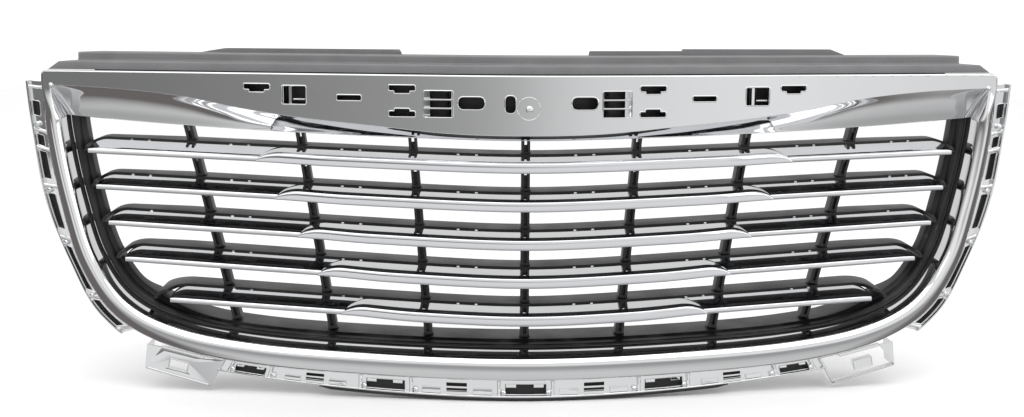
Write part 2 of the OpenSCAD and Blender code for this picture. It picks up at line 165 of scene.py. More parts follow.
def rim_inward(u):
    step = 0.02
    t = curve_through(RIM, np.minimum(u + step, LAST)) - curve_through(RIM, np.maximum(u - step, -LAST))
    n = np.stack([-t[:, 1], t[:, 0]], axis=-1)
    return n / np.linalg.norm(n, axis=-1, keepdims=True)


print("surround half outline:", len(RIM), "points, from", RIM[0], "to", RIM[-1])

# %% [markdown]
# ## Making meshes
#
# Two ways of making a mesh cover nearly all of the grille. A loft joins a row of sections
# into a closed skin, and suits everything that runs along the sweep: rim, bars, vanes. A
# cut sheet fills a flat outline with holes, and suits the panels and brackets. Corners of a
# section are rounded first, because a plated edge is never sharp and its highlight is what
# makes it look real.

# %% Rounded sections
def rounded(points, radii, steps=4):
    """Closed outlines with each corner replaced by an arc. Points are (..., corners, 2)."""
    p = np.array(points, float)
    n = p.shape[-2]
    radii = [radii] * n if np.isscalar(radii) else radii
    result = []
    for k in range(n):
        corner = p[..., k, :]
        to_last = p[..., k - 1, :] - corner
        to_next = p[..., (k + 1) % n, :] - corner
        len_last = np.linalg.norm(to_last, axis=-1, keepdims=True)
        len_next = np.linalg.norm(to_next, axis=-1, keepdims=True)
        to_last, to_next = to_last / len_last, to_next / len_next
        cosine = np.clip((to_last * to_next).sum(-1, keepdims=True), -1, 1)
        half = np.maximum(np.arccos(cosine) / 2, 0.01)
        reach = np.minimum(radii[k] / np.tan(half), 0.45 * np.minimum(len_last, len_next))
        start, end = corner + to_last * reach, corner + to_next * reach
        for t in np.linspace(0, 1, steps + 1):
            result.append((1 - t) ** 2 * start + 2 * t * (1 - t) * corner + t * t * end)
    return np.stack(result, axis=-2)


def strip_caps(n, offset, flipped):
    """Closes the end of a loft whose section runs out along one side and back on the other."""
    faces = []
    for j in range(n // 2 - 1):
        quad = [offset + j, offset + j + 1, offset + n - 2 - j, offset + n - 1 - j]
        faces.append(quad[::-1] if flipped else quad)
    return faces


print("a square with 2 mm corners has", len(rounded([[0, 0], [9, 0], [9, 9], [0, 9]], 2)), "points")


# %% Lofts and pieces
def loft(rings, closed=False, caps="fan"):
    """Vertices and faces of a closed skin through rings of points, shaped (rings, points, 3)."""
    m, n = rings.shape[:2]
    faces = []
    for i in range(m if closed else m - 1):
        a, b = i * n, ((i + 1) % m) * n
        for j in range(n):
            k = (j + 1) % n
            faces.append([a + j, b + j, b + k, a + k])
    if not closed and caps == "strip":
        faces += strip_caps(n, 0, False) + strip_caps(n, (m - 1) * n, True)
    if not closed and caps == "fan":
        faces += [list(range(n)), list(range((m - 1) * n, m * n))[::-1]]
    return rings.reshape(-1, 3), faces


def joined(*parts):
    """Several (vertices, faces) as one."""
    points, faces, base = [], [], 0
    for v, f in parts:
        points.append(np.asarray(v, float))
        faces += [[base + i for i in face] for face in f]
        base += len(v)
    return np.vstack(points), faces


def mesh_of(name, shape, crease_angle=35, recalculate=True):
    """A Blender mesh from (vertices, faces): outward normals, smooth up to an angle."""
    mesh = bpy.data.meshes.new(name)
    mesh.from_pydata(shape[0].tolist(), [], shape[1])
    if recalculate:
        b = bmesh.new()
        b.from_mesh(mesh)
        bmesh.ops.recalc_face_normals(b, faces=b.faces)
        b.to_mesh(mesh)
        b.free()
    mesh.shade_smooth()
    mesh.set_sharp_from_angle(angle=math.radians(crease_angle))
    return mesh


def link(name, mesh, *materials):
    piece = bpy.data.objects.new(name, mesh)
    bpy.context.scene.collection.objects.link(piece)
    mesh.materials.clear()
    for material in materials:
        mesh.materials.append(material)
    return piece


def settle(piece, slot, *nodes):
    """Parents a finished piece to the root body, hides the CAD nodes it stands for, if any, and prints its
    faces.
    """
    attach(piece, "root")
    if nodes:
        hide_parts(*nodes)
    print(f"{piece.name}: {len(piece.data.polygons)} faces")
    return piece


print("mesh helpers ready")


# %% Cut sheets
def cut_sheet(outlines, thickness, bevel=0.0, resolution=2):
    """A flat plate with holes as a mesh: the first outline is its edge, the rest are holes.

    Outlines are in millimetres, as x and z. The plate's front lies at depth 0."""
    curve = bpy.data.curves.new("sheet", "CURVE")
    curve.dimensions = "2D"
    curve.fill_mode = "BOTH"
    curve.extrude = thickness / 2 - bevel
    curve.bevel_depth = bevel
    curve.offset = -bevel
    curve.bevel_resolution = resolution
    for outline in outlines:
        spline = curve.splines.new("POLY")
        spline.points.add(len(outline) - 1)
        for point, (x, z) in zip(spline.points, outline):
            point.co = (x, z, 0, 1)
        spline.use_cyclic_u = True
    holder = bpy.data.objects.new("sheet", curve)
    bpy.context.scene.collection.objects.link(holder)
    graph = bpy.context.evaluated_depsgraph_get()
    mesh = bpy.data.meshes.new_from_object(holder.evaluated_get(graph))
    bpy.data.objects.remove(holder)
    bpy.data.curves.remove(curve)
    b = bmesh.new()
    b.from_mesh(mesh)
    bpy.data.meshes.remove(mesh)
    bmesh.ops.remove_doubles(b, verts=b.verts, dist=0.002)
    return b, thickness


def slice_across(b, places):
    """Cuts a flat sheet at the given x, so that it can bend there."""
    for x in places:
        geometry = list(b.verts) + list(b.edges) + list(b.faces)
        bmesh.ops.bisect_plane(b, geom=geometry, dist=0.001, plane_co=(x, 0, 0), plane_no=(1, 0, 0))


def sheet_on_sweep(sheet, depth):
    """Vertices and faces of a cut sheet after it is bent along the sweep at a depth."""
    b, thickness = sheet
    b.verts.ensure_lookup_table()
    flat = np.array([v.co for v in b.verts])
    points = place(flat[:, 0], depth + thickness / 2 - flat[:, 2], flat[:, 1])
    faces = [[v.index for v in face.verts] for face in b.faces]
    b.free()
    return points, faces


def rectangle(x, z, w, h, r=0.0, turn=0.0):
    """A rectangle's outline, with round corners and a turn in degrees if they are given."""
    corners = np.array([[-w, -h], [w, -h], [w, h], [-w, h]]) / 2
    corners = rounded(corners, r, 4) if r else corners
    c, s = math.cos(math.radians(turn)), math.sin(math.radians(turn))
    return corners @ np.array([[c, s], [-s, c]]) + [x, z]


BEND_PLACES = np.concatenate([np.arange(-148, 150, 4), np.arange(160, 500, 20), -np.arange(160, 500, 20)])
print("a sheet bends at", len(BEND_PLACES), "places")

# %% [markdown]
# ## Repeats with Geometry Nodes
#
# Screws, rib posts, stiffeners and clip pillars are one shape put down many times. A small
# tree reads points that carry a turn and a size, puts the part on each one, and ends in
# real geometry, so that the result can be saved as a plain mesh. Another tree draws a
# profile along a closed outline, which is how a rolled collar follows a window.

# %% Geometry Nodes helpers
def new_tree(name, inputs):
    tree = bpy.data.node_groups.new(name, "GeometryNodeTree")
    tree.interface.new_socket("Geometry", in_out="OUTPUT", socket_type="NodeSocketGeometry")
    tree.interface.new_socket("Geometry", in_out="INPUT", socket_type="NodeSocketGeometry")
    for label, kind in inputs:
        tree.interface.new_socket(label, in_out="INPUT", socket_type=kind)
    return tree


def add(tree, kind, **settings):
    node = tree.nodes.new(kind)
    for key, value in settings.items():
        setattr(node, key, value)
    return node


def run_tree(holder, tree, values):
    """Runs a tree on an object, gives the result as a plain mesh and removes the object."""
    modifier = holder.modifiers.new(tree.name, "NODES")
    modifier.node_group = tree
    for socket in tree.interface.items_tree:
        if socket.in_out == "INPUT" and socket.name in values:
            modifier[socket.identifier] = values[socket.name]
    graph = bpy.context.evaluated_depsgraph_get()
    mesh = bpy.data.meshes.new_from_object(holder.evaluated_get(graph))
    holder.modifiers.clear()
    bpy.data.objects.remove(holder)
    return mesh


def repeat_tree():
    """Puts a part on every point, with the point's own turn and size."""
    tree = new_tree("part on points", [("Part", "NodeSocketObject"), ("Scale", "NodeSocketFloat"),
                                       ("Finish", "NodeSocketMaterial")])
    start, end = add(tree, "NodeGroupInput"), add(tree, "NodeGroupOutput")
    part = add(tree, "GeometryNodeObjectInfo", transform_space="ORIGINAL")
    turn = add(tree, "GeometryNodeInputNamedAttribute", data_type="FLOAT_VECTOR")
    turn.inputs["Name"].default_value = "turn"
    size = add(tree, "GeometryNodeInputNamedAttribute", data_type="FLOAT_VECTOR")
    size.inputs["Name"].default_value = "size"
    grow = add(tree, "ShaderNodeVectorMath", operation="SCALE")
    put = add(tree, "GeometryNodeInstanceOnPoints")
    real = add(tree, "GeometryNodeRealizeInstances")
    paint = add(tree, "GeometryNodeSetMaterial")
    tree.links.new(start.outputs["Part"], part.inputs["Object"])
    tree.links.new(start.outputs["Geometry"], put.inputs["Points"])
    tree.links.new(part.outputs["Geometry"], put.inputs["Instance"])
    tree.links.new(turn.outputs["Attribute"], put.inputs["Rotation"])
    tree.links.new(size.outputs["Attribute"], grow.inputs[0])
    tree.links.new(start.outputs["Scale"], grow.inputs["Scale"])
    tree.links.new(grow.outputs[0], put.inputs["Scale"])
    tree.links.new(put.outputs["Instances"], real.inputs["Geometry"])
    tree.links.new(real.outputs["Geometry"], paint.inputs["Geometry"])
    tree.links.new(start.outputs["Finish"], paint.inputs["Material"])
    tree.links.new(paint.outputs["Geometry"], end.inputs[0])
    return tree


def collar_tree():
    """Draws a profile along every outline of a curve object."""
    tree = new_tree("rolled collar", [("Profile", "NodeSocketObject"), ("Finish", "NodeSocketMaterial")])
    start, end = add(tree, "NodeGroupInput"), add(tree, "NodeGroupOutput")
    profile = add(tree, "GeometryNodeObjectInfo", transform_space="ORIGINAL")
    upright = add(tree, "GeometryNodeSetCurveNormal", mode="Z_UP")
    sweep = add(tree, "GeometryNodeCurveToMesh")
    real = add(tree, "GeometryNodeRealizeInstances")
    paint = add(tree, "GeometryNodeSetMaterial")
    tree.links.new(start.outputs["Profile"], profile.inputs["Object"])
    tree.links.new(start.outputs["Geometry"], upright.inputs["Curve"])
    tree.links.new(upright.outputs["Curve"], sweep.inputs["Curve"])
    tree.links.new(profile.outputs["Geometry"], sweep.inputs["Profile Curve"])
    tree.links.new(sweep.outputs["Mesh"], real.inputs["Geometry"])
    tree.links.new(real.outputs["Geometry"], paint.inputs["Geometry"])
    tree.links.new(start.outputs["Finish"], paint.inputs["Material"])
    tree.links.new(paint.outputs["Geometry"], end.inputs[0])
    return tree


REPEAT = repeat_tree()
COLLAR = collar_tree()
print("trees:", REPEAT.name, "and", COLLAR.name)


# %% Running the trees
def as_shape(mesh):
    """A mesh as (vertices, faces), after which the mesh is removed."""
    points = np.zeros(len(mesh.vertices) * 3)
    mesh.vertices.foreach_get("co", points)
    faces = [list(face.vertices) for face in mesh.polygons]
    bpy.data.meshes.remove(mesh)
    return points.reshape(-1, 3), faces


def repeated(part_shape, points, turns, sizes, material, scale=1.0):
    """One shape put on every point: (vertices, faces) of all the copies."""
    part = link("part", mesh_of("part", part_shape), material)
    cloud = bpy.data.meshes.new("points")
    cloud.from_pydata([tuple(p) for p in points], [], [])
    for label, values in (("turn", turns), ("size", sizes)):
        attribute = cloud.attributes.new(label, "FLOAT_VECTOR", "POINT")
        attribute.data.foreach_set("vector", np.asarray(values, np.float32).ravel())
    holder = link("points", cloud)
    mesh = run_tree(holder, REPEAT, {"Part": part, "Scale": scale, "Finish": material})
    bpy.data.objects.remove(part)
    return as_shape(mesh)


def curve_object(name, outlines):
    curve = bpy.data.curves.new(name, "CURVE")
    curve.dimensions = "3D"
    for outline in outlines:
        spline = curve.splines.new("POLY")
        spline.points.add(len(outline) - 1)
        for point, (x, y) in zip(spline.points, outline):
            point.co = (x, y, 0, 1)
        spline.use_cyclic_u = True
    holder = bpy.data.objects.new(name, curve)
    bpy.context.scene.collection.objects.link(holder)
    return holder


def collars(outlines, profile, material):
    """A profile of (outwards, backwards) points drawn round every outline, still flat."""
    section = curve_object("profile", [profile])
    holder = curve_object("outlines", outlines)
    points, faces = as_shape(run_tree(holder, COLLAR, {"Profile": section, "Finish": material}))
    bpy.data.objects.remove(section)
    return points * [1, 1, -1], faces


print("tree runners ready")

# %% [markdown]
# ## Finishes
#
# Bright plating is a mirror, so its look is what it reflects. What keeps it from looking
# computed is small: a faint waviness left by the moulding, a thin film of dust where it
# faces up, and fine wiping marks. Three shader groups hold those effects, and each material
# places them with its own values.

# %% Shader groups
def new_group(name, inputs, outputs):
    group = bpy.data.node_groups.new(name, "ShaderNodeTree")
    for label, value in inputs:
        socket = group.interface.new_socket(label, in_out="INPUT", socket_type="NodeSocketFloat")
        socket.default_value = value
    for label, kind in outputs:
        group.interface.new_socket(label, in_out="OUTPUT", socket_type=kind)
    return group, add(group, "NodeGroupInput"), add(group, "NodeGroupOutput")


def noise(tree, vector, scale, detail=3.0, roughness=0.5):
    node = add(tree, "ShaderNodeTexNoise")
    node.inputs["Detail"].default_value = detail
    node.inputs["Roughness"].default_value = roughness
    tree.links.new(vector, node.inputs["Vector"])
    if hasattr(scale, "links"):
        tree.links.new(scale, node.inputs["Scale"])
    else:
        node.inputs["Scale"].default_value = scale
    return node.outputs["Fac"]


def math_node(tree, operation, a, b, clamp=False):
    node = add(tree, "ShaderNodeMath", operation=operation, use_clamp=clamp)
    for socket, value in zip(node.inputs, (a, b)):
        if hasattr(value, "links"):
            tree.links.new(value, socket)
        else:
            socket.default_value = value
    return node.outputs[0]


def ranged(tree, value, low, high, to_low=0.0, to_high=1.0):
    node = add(tree, "ShaderNodeMapRange", interpolation_type="SMOOTHSTEP")
    tree.links.new(value, node.inputs["Value"])
    for label, number in (("From Min", low), ("From Max", high), ("To Min", to_low), ("To Max", to_high)):
        node.inputs[label].default_value = number
    return node.outputs["Result"]


def dust_group():
    """Dust that gathers on faces that look up, broken by wiping."""
    group, start, end = new_group("dust film", [("Amount", 0.3), ("Scale", 40)],
                                  [("Mask", "NodeSocketFloat")])
    place_of = add(group, "ShaderNodeTexCoord")
    geometry = add(group, "ShaderNodeNewGeometry")
    split = add(group, "ShaderNodeSeparateXYZ")
    group.links.new(geometry.outputs["Normal"], split.inputs[0])
    up = ranged(group, split.outputs["Z"], -0.2, 0.95, 0.12, 1.0)
    cloud = ranged(group, noise(group, place_of.outputs["Object"], start.outputs["Scale"], 5), 0.42, 0.7)
    speck = ranged(group, noise(group, place_of.outputs["Object"], 2600, 1), 0.62, 0.74)
    both = math_node(group, "MAXIMUM", math_node(group, "MULTIPLY", cloud, 0.5), speck)
    facing = math_node(group, "MULTIPLY", both, up)
    mask = math_node(group, "MULTIPLY", facing, start.outputs["Amount"], True)
    group.links.new(mask, end.inputs["Mask"])
    return group


def wiping_group():
    """Fine marks of a cloth: noise drawn out along the part."""
    group, start, end = new_group("wiping marks", [("Amount", 0.5), ("Scale", 900)],
                                  [("Mask", "NodeSocketFloat"), ("Height", "NodeSocketFloat")])
    place_of = add(group, "ShaderNodeTexCoord")
    stretch = add(group, "ShaderNodeMapping")
    stretch.inputs["Scale"].default_value = (0.05, 0.4, 1.0)
    group.links.new(place_of.outputs["Object"], stretch.inputs["Vector"])
    lines = noise(group, stretch.outputs["Vector"], start.outputs["Scale"], 2)
    marks = ranged(group, lines, 0.56, 0.78)
    patches = ranged(group, noise(group, place_of.outputs["Object"], 14, 2), 0.4, 0.75)
    wiped = math_node(group, "MULTIPLY", marks, patches)
    mask = math_node(group, "MULTIPLY", wiped, start.outputs["Amount"], True)
    wave = noise(group, place_of.outputs["Object"], 55, 1)
    group.links.new(mask, end.inputs["Mask"])
    group.links.new(wave, end.inputs["Height"])
    return group


def grain_group():
    """Moulded grain: a cell pattern over a soft noise, with worn lighter edges."""
    group, start, end = new_group("moulded grain", [("Scale", 1500), ("Wear", 0.5)],
                                  [("Height", "NodeSocketFloat"), ("Tone", "NodeSocketFloat"),
                                   ("Edge", "NodeSocketFloat")])
    place_of = add(group, "ShaderNodeTexCoord")
    cells = add(group, "ShaderNodeTexVoronoi", feature="SMOOTH_F1")
    group.links.new(place_of.outputs["Object"], cells.inputs["Vector"])
    group.links.new(start.outputs["Scale"], cells.inputs["Scale"])
    fine = noise(group, place_of.outputs["Object"], 3800, 2)
    height = math_node(group, "ADD", cells.outputs["Distance"], math_node(group, "MULTIPLY", fine, 0.4))
    tone = noise(group, place_of.outputs["Object"], 22, 4)
    geometry = add(group, "ShaderNodeNewGeometry")
    edge = ranged(group, geometry.outputs["Pointiness"], 0.53, 0.62)
    worn = math_node(group, "MULTIPLY", edge, start.outputs["Wear"], True)
    group.links.new(height, end.inputs["Height"])
    group.links.new(tone, end.inputs["Tone"])
    group.links.new(worn, end.inputs["Edge"])
    return group


DUST, WIPING, GRAIN = dust_group(), wiping_group(), grain_group()
print("shader groups:", DUST.name, WIPING.name, GRAIN.name)


# %% Material helpers
def principled(name, **constants):
    material = bpy.data.materials.new(name)
    material.use_nodes = True
    tree = material.node_tree
    shader = tree.nodes["Principled BSDF"]
    for label, value in constants.items():
        shader.inputs[label.replace("_", " ")].default_value = value
    return material, tree, shader


def use(tree, group, **values):
    node = add(tree, "ShaderNodeGroup", node_tree=group)
    for label, value in values.items():
        node.inputs[label].default_value = value
    return node


def blend_colours(tree, mask, plain, other):
    node = add(tree, "ShaderNodeMix", data_type="RGBA")
    tree.links.new(mask, node.inputs["Factor"])
    for socket, value in (("A", plain), ("B", other)):
        target = [s for s in node.inputs if s.name == socket and s.type == "RGBA"][0]
        if hasattr(value, "links"):
            tree.links.new(value, target)
        else:
            target.default_value = (*value, 1)
    return [s for s in node.outputs if s.type == "RGBA"][0]


def bumped(tree, shader, height, strength, distance):
    node = add(tree, "ShaderNodeBump")
    node.inputs["Strength"].default_value = strength
    node.inputs["Distance"].default_value = distance
    tree.links.new(height, node.inputs["Height"])
    tree.links.new(node.outputs["Normal"], shader.inputs["Normal"])


print("material helpers ready")


# %% Plating
def plated(name, colour, polish, wave):
    """Bright plating: polish is its roughness where clean, wave its faint unevenness."""
    material, tree, shader = principled(name, Specular_IOR_Level=0.5)
    dust = use(tree, DUST, Amount=0.22, Scale=36)
    wiped = use(tree, WIPING, Amount=0.6, Scale=900)
    dulled = math_node(tree, "MAXIMUM", dust.outputs["Mask"], wiped.outputs["Mask"])
    tree.links.new(blend_colours(tree, dust.outputs["Mask"], colour, (0.42, 0.40, 0.37)),
                   shader.inputs["Base Color"])
    tree.links.new(ranged(tree, dulled, 0, 1, polish, polish + 0.16), shader.inputs["Roughness"])
    tree.links.new(ranged(tree, dust.outputs["Mask"], 0, 1, 1.0, 0.35), shader.inputs["Metallic"])
    bumped(tree, shader, wiped.outputs["Height"], 0.06, wave)
    return material


chrome = plated("bright chrome", (0.86, 0.865, 0.875), 0.028, 0.0006)
bar_chrome = plated("bar chrome", (0.80, 0.805, 0.83), 0.05, 0.0004)
print("plating:", chrome.name, "and", bar_chrome.name)


# %% Plastics, steel and foam
def moulded(name, colour, worn, roughness, scale, bump):
    """Grained plastic with a slightly uneven tone, worn edges and dust."""
    material, tree, shader = principled(name, Specular_IOR_Level=0.45)
    grain = use(tree, GRAIN, Scale=scale, Wear=0.6)
    dust = use(tree, DUST, Amount=0.3, Scale=30)
    toned = blend_colours(tree, grain.outputs["Tone"], [c * 0.8 for c in colour], [c * 1.25 for c in colour])
    edged = blend_colours(tree, grain.outputs["Edge"], toned, worn)
    tree.links.new(blend_colours(tree, dust.outputs["Mask"], edged, (0.30, 0.29, 0.27)),
                   shader.inputs["Base Color"])
    tree.links.new(ranged(tree, grain.outputs["Tone"], 0.2, 0.8, roughness - 0.06, roughness + 0.08),
                   shader.inputs["Roughness"])
    bumped(tree, shader, grain.outputs["Height"], 0.25, bump)
    return material


black_plastic = moulded("black grained plastic", (0.009, 0.009, 0.0105), (0.05, 0.05, 0.055),
                        0.42, 1500, 0.00012)
grey_plastic = moulded("grey satin plastic", (0.17, 0.17, 0.175), (0.30, 0.30, 0.31), 0.40, 900, 0.00010)
foam = moulded("seal foam", (0.02, 0.02, 0.021), (0.04, 0.04, 0.042), 0.85, 700, 0.0006)
screw_steel = plated("zinc screw steel", (0.62, 0.61, 0.58), 0.22, 0.0002)
print("finishes:", len(bpy.data.materials))

# %% [markdown]
# ## The surround
#
# The surround is the bright frame that one sees first: a rounded ridge with a concave inner
# return down to the black insert. Its section changes on the way: the face is 17 mm wide at
# the bottom and narrows to 9.5 mm at the top, where it flattens to run into the badge panel,
# and the return fades out where it meets the panel's cove. A loft with a smooth curve
# through each section's points keeps the reflections flowing.

# %% Surround section
SHELL_T = 3
RIM_DEPTH = 38
RIM_RETURN = 13


def rim_face(u):
    return mix(17, 9.5, smooth(np.abs(u) / LAST))


def rim_fade(z):
    return np.clip((121 - z) / 34, 0, 1) * 0.94 + 0.06


def rim_points(u, depths, widths):
    """Points of a section at the places u, given as depth and distance in from the edge."""
    p = curve_through(RIM, u)[:, None, :] + rim_inward(u)[:, None, :] * widths[:, :, None]
    return place(p[:, :, 0], depths, p[:, :, 1])


def through(controls, steps):
    """A smooth open curve through rows of control points: (stations, controls, 2)."""
    c = np.concatenate([2 * controls[:, :1] - controls[:, 1:2], controls,
                        2 * controls[:, -1:] - controls[:, -2:-1]], axis=1)
    rows = []
    spans = controls.shape[1] - 1
    for i in range(spans):
        for t in np.arange(steps) / steps:
            a, b, e, f = c[:, i], c[:, i + 1], c[:, i + 2], c[:, i + 3]
            rows.append(0.5 * (2 * b + (e - a) * t + (2 * a - 5 * b + 4 * e - f) * t * t
                               + (3 * b - a - 3 * e + f) * t ** 3))
    rows.append(c[:, -2])
    return np.stack(rows, axis=1)


def surround_shape():
    u = np.linspace(-LAST, LAST, 441)
    f = rim_face(u)
    z = curve_through(RIM, u)[:, 1]
    k = rim_fade(z)
    flat = smooth((z - 88) / 34)
    zero = np.zeros_like(u)
    outer = [(14, zero), (9.6, zero + 0.35), (mix(6.4, 5.8, flat), mix(0.33 * f, 0.6 + zero, flat)),
             (mix(3.6, PANEL_D, flat), mix(0.7 * f, 1.8 + zero, flat)),
             (mix(2.6, PANEL_D, flat), mix(f - 0.6, 0.55 * f, flat)),
             (mix(2.9, PANEL_D + 0.1, flat), f + 1.5 * k),
             (mix(5.4, 6.2, flat), f + 5 * k), (10.5, f + 8.4 * k), (22, f + 11.2 * k),
             (RIM_DEPTH, f + RIM_RETURN * k)]
    front = through(np.stack([np.stack(np.broadcast_arrays(d + zero, w), -1) for d, w in outer], 1), 6)
    inner = [(RIM_DEPTH, f + RIM_RETURN * k - SHELL_T), (22.5, f + 11 * k - SHELL_T),
             (12, f + 8 * k - SHELL_T), (7.5 + flat, f + 3 * k - SHELL_T), (6 + 2 * flat, f - SHELL_T - 1),
             (6.6 + 1.4 * flat, 0.6 * f), (9 + zero, 0.35 * f + 1), (11.5 + zero, 3.0 + zero),
             (14 + zero, 3 + zero)]
    back = through(np.stack([np.stack(np.broadcast_arrays(d + zero, w + zero), -1) for d, w in inner], 1), 2)
    section = np.concatenate([front, back], axis=1)
    return loft(rim_points(u, section[:, :, 0], section[:, :, 1]))


surround = link("surround", mesh_of("surround", surround_shape(), 50), chrome)
settle(surround, "bright_chrome", "surround_rim")

# %% [markdown]
# ## The badge panel
#
# The panel's face is flat from top to bottom and bent along the sweep, so it is cut from a
# flat sheet with its windows, sliced across, bent, and given the exact normals of the
# sweep: on a mirror even a small error of a normal shows. Each window gets a rolled collar,
# drawn along the window's outline with Geometry Nodes.

# %% Windows of the badge panel
HALF_W = 500
TOWER = (90, 108, 31, 28)
WINDOW_R = 1.2


def t_slot(x, z, side):
    """A slot with a wider middle towards one side."""
    s = side
    outline = np.array([[-13, -2.5 * s], [13, -2.5 * s], [13, 2.5 * s], [7.5, 2.5 * s],
                        [7.5, 5.1 * s], [-7.5, 5.1 * s], [-7.5, 2.5 * s], [-13, 2.5 * s]])
    outline = outline if s > 0 else outline[::-1]
    return rounded(outline, [1.1, 1.1, 1.1, 0.5, 1.1, 1.1, 0.5, 1.1], 3) + [x, z]


def mirrored(outlines):
    return outlines + [(o * [-1, 1])[::-1] for o in outlines]


side_windows = [
    t_slot(274, 123, -1),
    rectangle(236, 115, 24, 18, WINDOW_R),
    rectangle(180, 113, 24, 5, 1.0),
    t_slot(126.5, 123.5, -1),
    t_slot(126.5, 97.5, 1),
    rectangle(57, 109, 26, 12, 5.9),
]
windows = mirrored(side_windows) + [rectangle(-18, 108, 10, 17, 4.9)]
tower_holes = mirrored([rectangle(TOWER[0], TOWER[1], TOWER[2] - 1, TOWER[3] - 1)])
print("windows:", len(windows), "and clip towers:", len(tower_holes))


# %% Panel face
def panel_outline(inset):
    """Edge of the panel's face: along the crease, up the corner and along the top."""
    x = np.linspace(-488, 488, 245)
    crease = np.stack([x, height_on(CREASE, x)], axis=1)
    w, top, r = HALF_W - 0.8 - inset, TOP_EDGE - inset, 5.5 - inset
    arc = [[w - r + r * math.cos(a), top - r + r * math.sin(a)] for a in np.linspace(0, math.pi / 2, 7)]
    corner = np.array([[w + 0.2, 123.6]] + arc)
    return np.vstack([crease, corner, (corner * [-1, 1])[::-1]])


def flat_normals(mesh, depth):
    """Gives the sheet's front the sweep's own normals and leaves the rest as computed."""
    normals = np.zeros(len(mesh.loops) * 3, np.float32)
    mesh.corner_normals.foreach_get("vector", normals)
    normals = normals.reshape(-1, 3)
    corners = np.array([list(mesh.vertices[loop.vertex_index].co) for loop in mesh.loops])
    x = (corners[:, 0] - DATUM[0]) / MM
    d = (corners[:, 1] - DATUM[1]) / MM - bow(x)
    for face in mesh.polygons:
        loops = list(face.loop_indices)
        if face.normal.y < -0.9 and np.abs(d[loops] - depth).max() < 0.02:
            slope = bow_slope(x[loops])
            length = np.sqrt(1 + slope ** 2)
            normals[loops] = np.stack([slope / length, -1 / length, 0 * length], axis=-1)
    mesh.normals_split_custom_set(normals.tolist())


EDGE_ROLL = 1.6
face_sheet = cut_sheet([panel_outline(EDGE_ROLL)] + windows + tower_holes, SHELL_T)
slice_across(face_sheet[0], BEND_PLACES)
face_shape = sheet_on_sweep(face_sheet, PANEL_D)
print("panel face:", len(face_shape[1]), "faces")


# %% Rolled top edge
def top_roll_shape():
    """The rounded edge along the corners and the top, and the return behind it."""
    outline = panel_outline(0)[245:]
    dense = [outline[0]]
    for a, b in zip(outline[:-1], outline[1:]):
        steps = max(1, int(np.linalg.norm(b - a) / 6))
        dense += [mix(a, b, (k + 1) / steps) for k in range(steps)]
    dense = np.array(dense)
    tangent = np.gradient(dense, axis=0)
    tangent /= np.linalg.norm(tangent, axis=1, keepdims=True)
    inward = np.stack([-tangent[:, 1], tangent[:, 0]], axis=1)
    r = EDGE_ROLL
    arc = [[r - r * math.sin(a), r - r * math.cos(a)] for a in np.linspace(0, math.pi / 2, 8)]
    section = np.array([[r + 0.6, 0.0]] + arc + [[0.0, 12.4], [0.3, 13.0], [2.4, 13.0], [2.7, 12.4],
                                                 [2.7, r + 1.2], [r + 0.6, 1.5]])
    p = dense[:, None, :] + inward[:, None, :] * section[None, :, :1]
    depth = np.broadcast_to(section[None, :, 1], p.shape[:2])
    return loft(place(p[:, :, 0], PANEL_D + depth, p[:, :, 1]))


top_roll = top_roll_shape()
print("top roll:", len(top_roll[1]), "faces")


# %% Window collars, flat and then bent
def bent(flat_shape, depth):
    """Bends a shape drawn flat (x, z, backwards) in millimetres along the sweep."""
    v, faces = flat_shape
    return place(v[:, 0], depth + v[:, 2], v[:, 1]), faces


def collar_profile(reach, lip, deep, wall):
    """Section of a rolled collar: a lip that stands proud, and a wall going back."""
    points = [[reach, 0.25], [reach * 0.75, -lip * 0.7], [reach * 0.4, -lip], [0.1, -lip * 0.75],
              [-0.25, 0.1], [-0.3, 1.2], [-0.3, deep], [wall - 0.3, deep], [wall - 0.2, 1.6], [reach, 1.2]]
    return rounded(points, 0.2, 2)


window_collars = bent(collars(windows, collar_profile(1.3, 0.55, 9, 1.2), chrome), PANEL_D)
print("collars:", len(window_collars[1]), "faces")


# %% Small solid shapes
def block(x, z, w, h, d0, d1, r=0.6, turn=0.0):
    """An upright block with a rounded front, drawn flat: its front at d0, its back at d1."""
    rings = []
    for inset, d in ((r, d0), (0.3 * r, d0 + 0.3 * r), (0, d0 + r), (0, d1)):
        outline = rectangle(x, z, w - 2 * inset, h - 2 * inset, max(r - inset, 0.15), turn)
        rings.append(np.column_stack([outline, np.full(len(outline), d)]))
    return loft(np.array(rings))


def prism_up(profile, z0, z1, x=0.0):
    """A profile in x and depth, drawn up from z0 to z1, still flat."""
    p = np.array(profile, float)
    rings = [np.column_stack([p[:, 0] + x, np.full(len(p), z), p[:, 1]]) for z in (z0, z1)]
    return loft(np.array(rings))


def turned(profile, x, z, steps=24):
    """A closed body of revolution about a line that runs back from (x, z), drawn flat.

    The profile is (radius, depth) from the axis at the front to the axis at the back."""
    a = np.linspace(0, 2 * math.pi, steps, endpoint=False)
    rings = [np.column_stack([x + r * np.cos(a), z + r * np.sin(a), np.full(steps, d)]) for r, d in profile]
    return loft(np.array(rings))


print("a block has", len(block(0, 0, 10, 10, 0, 5)[1]), "faces")


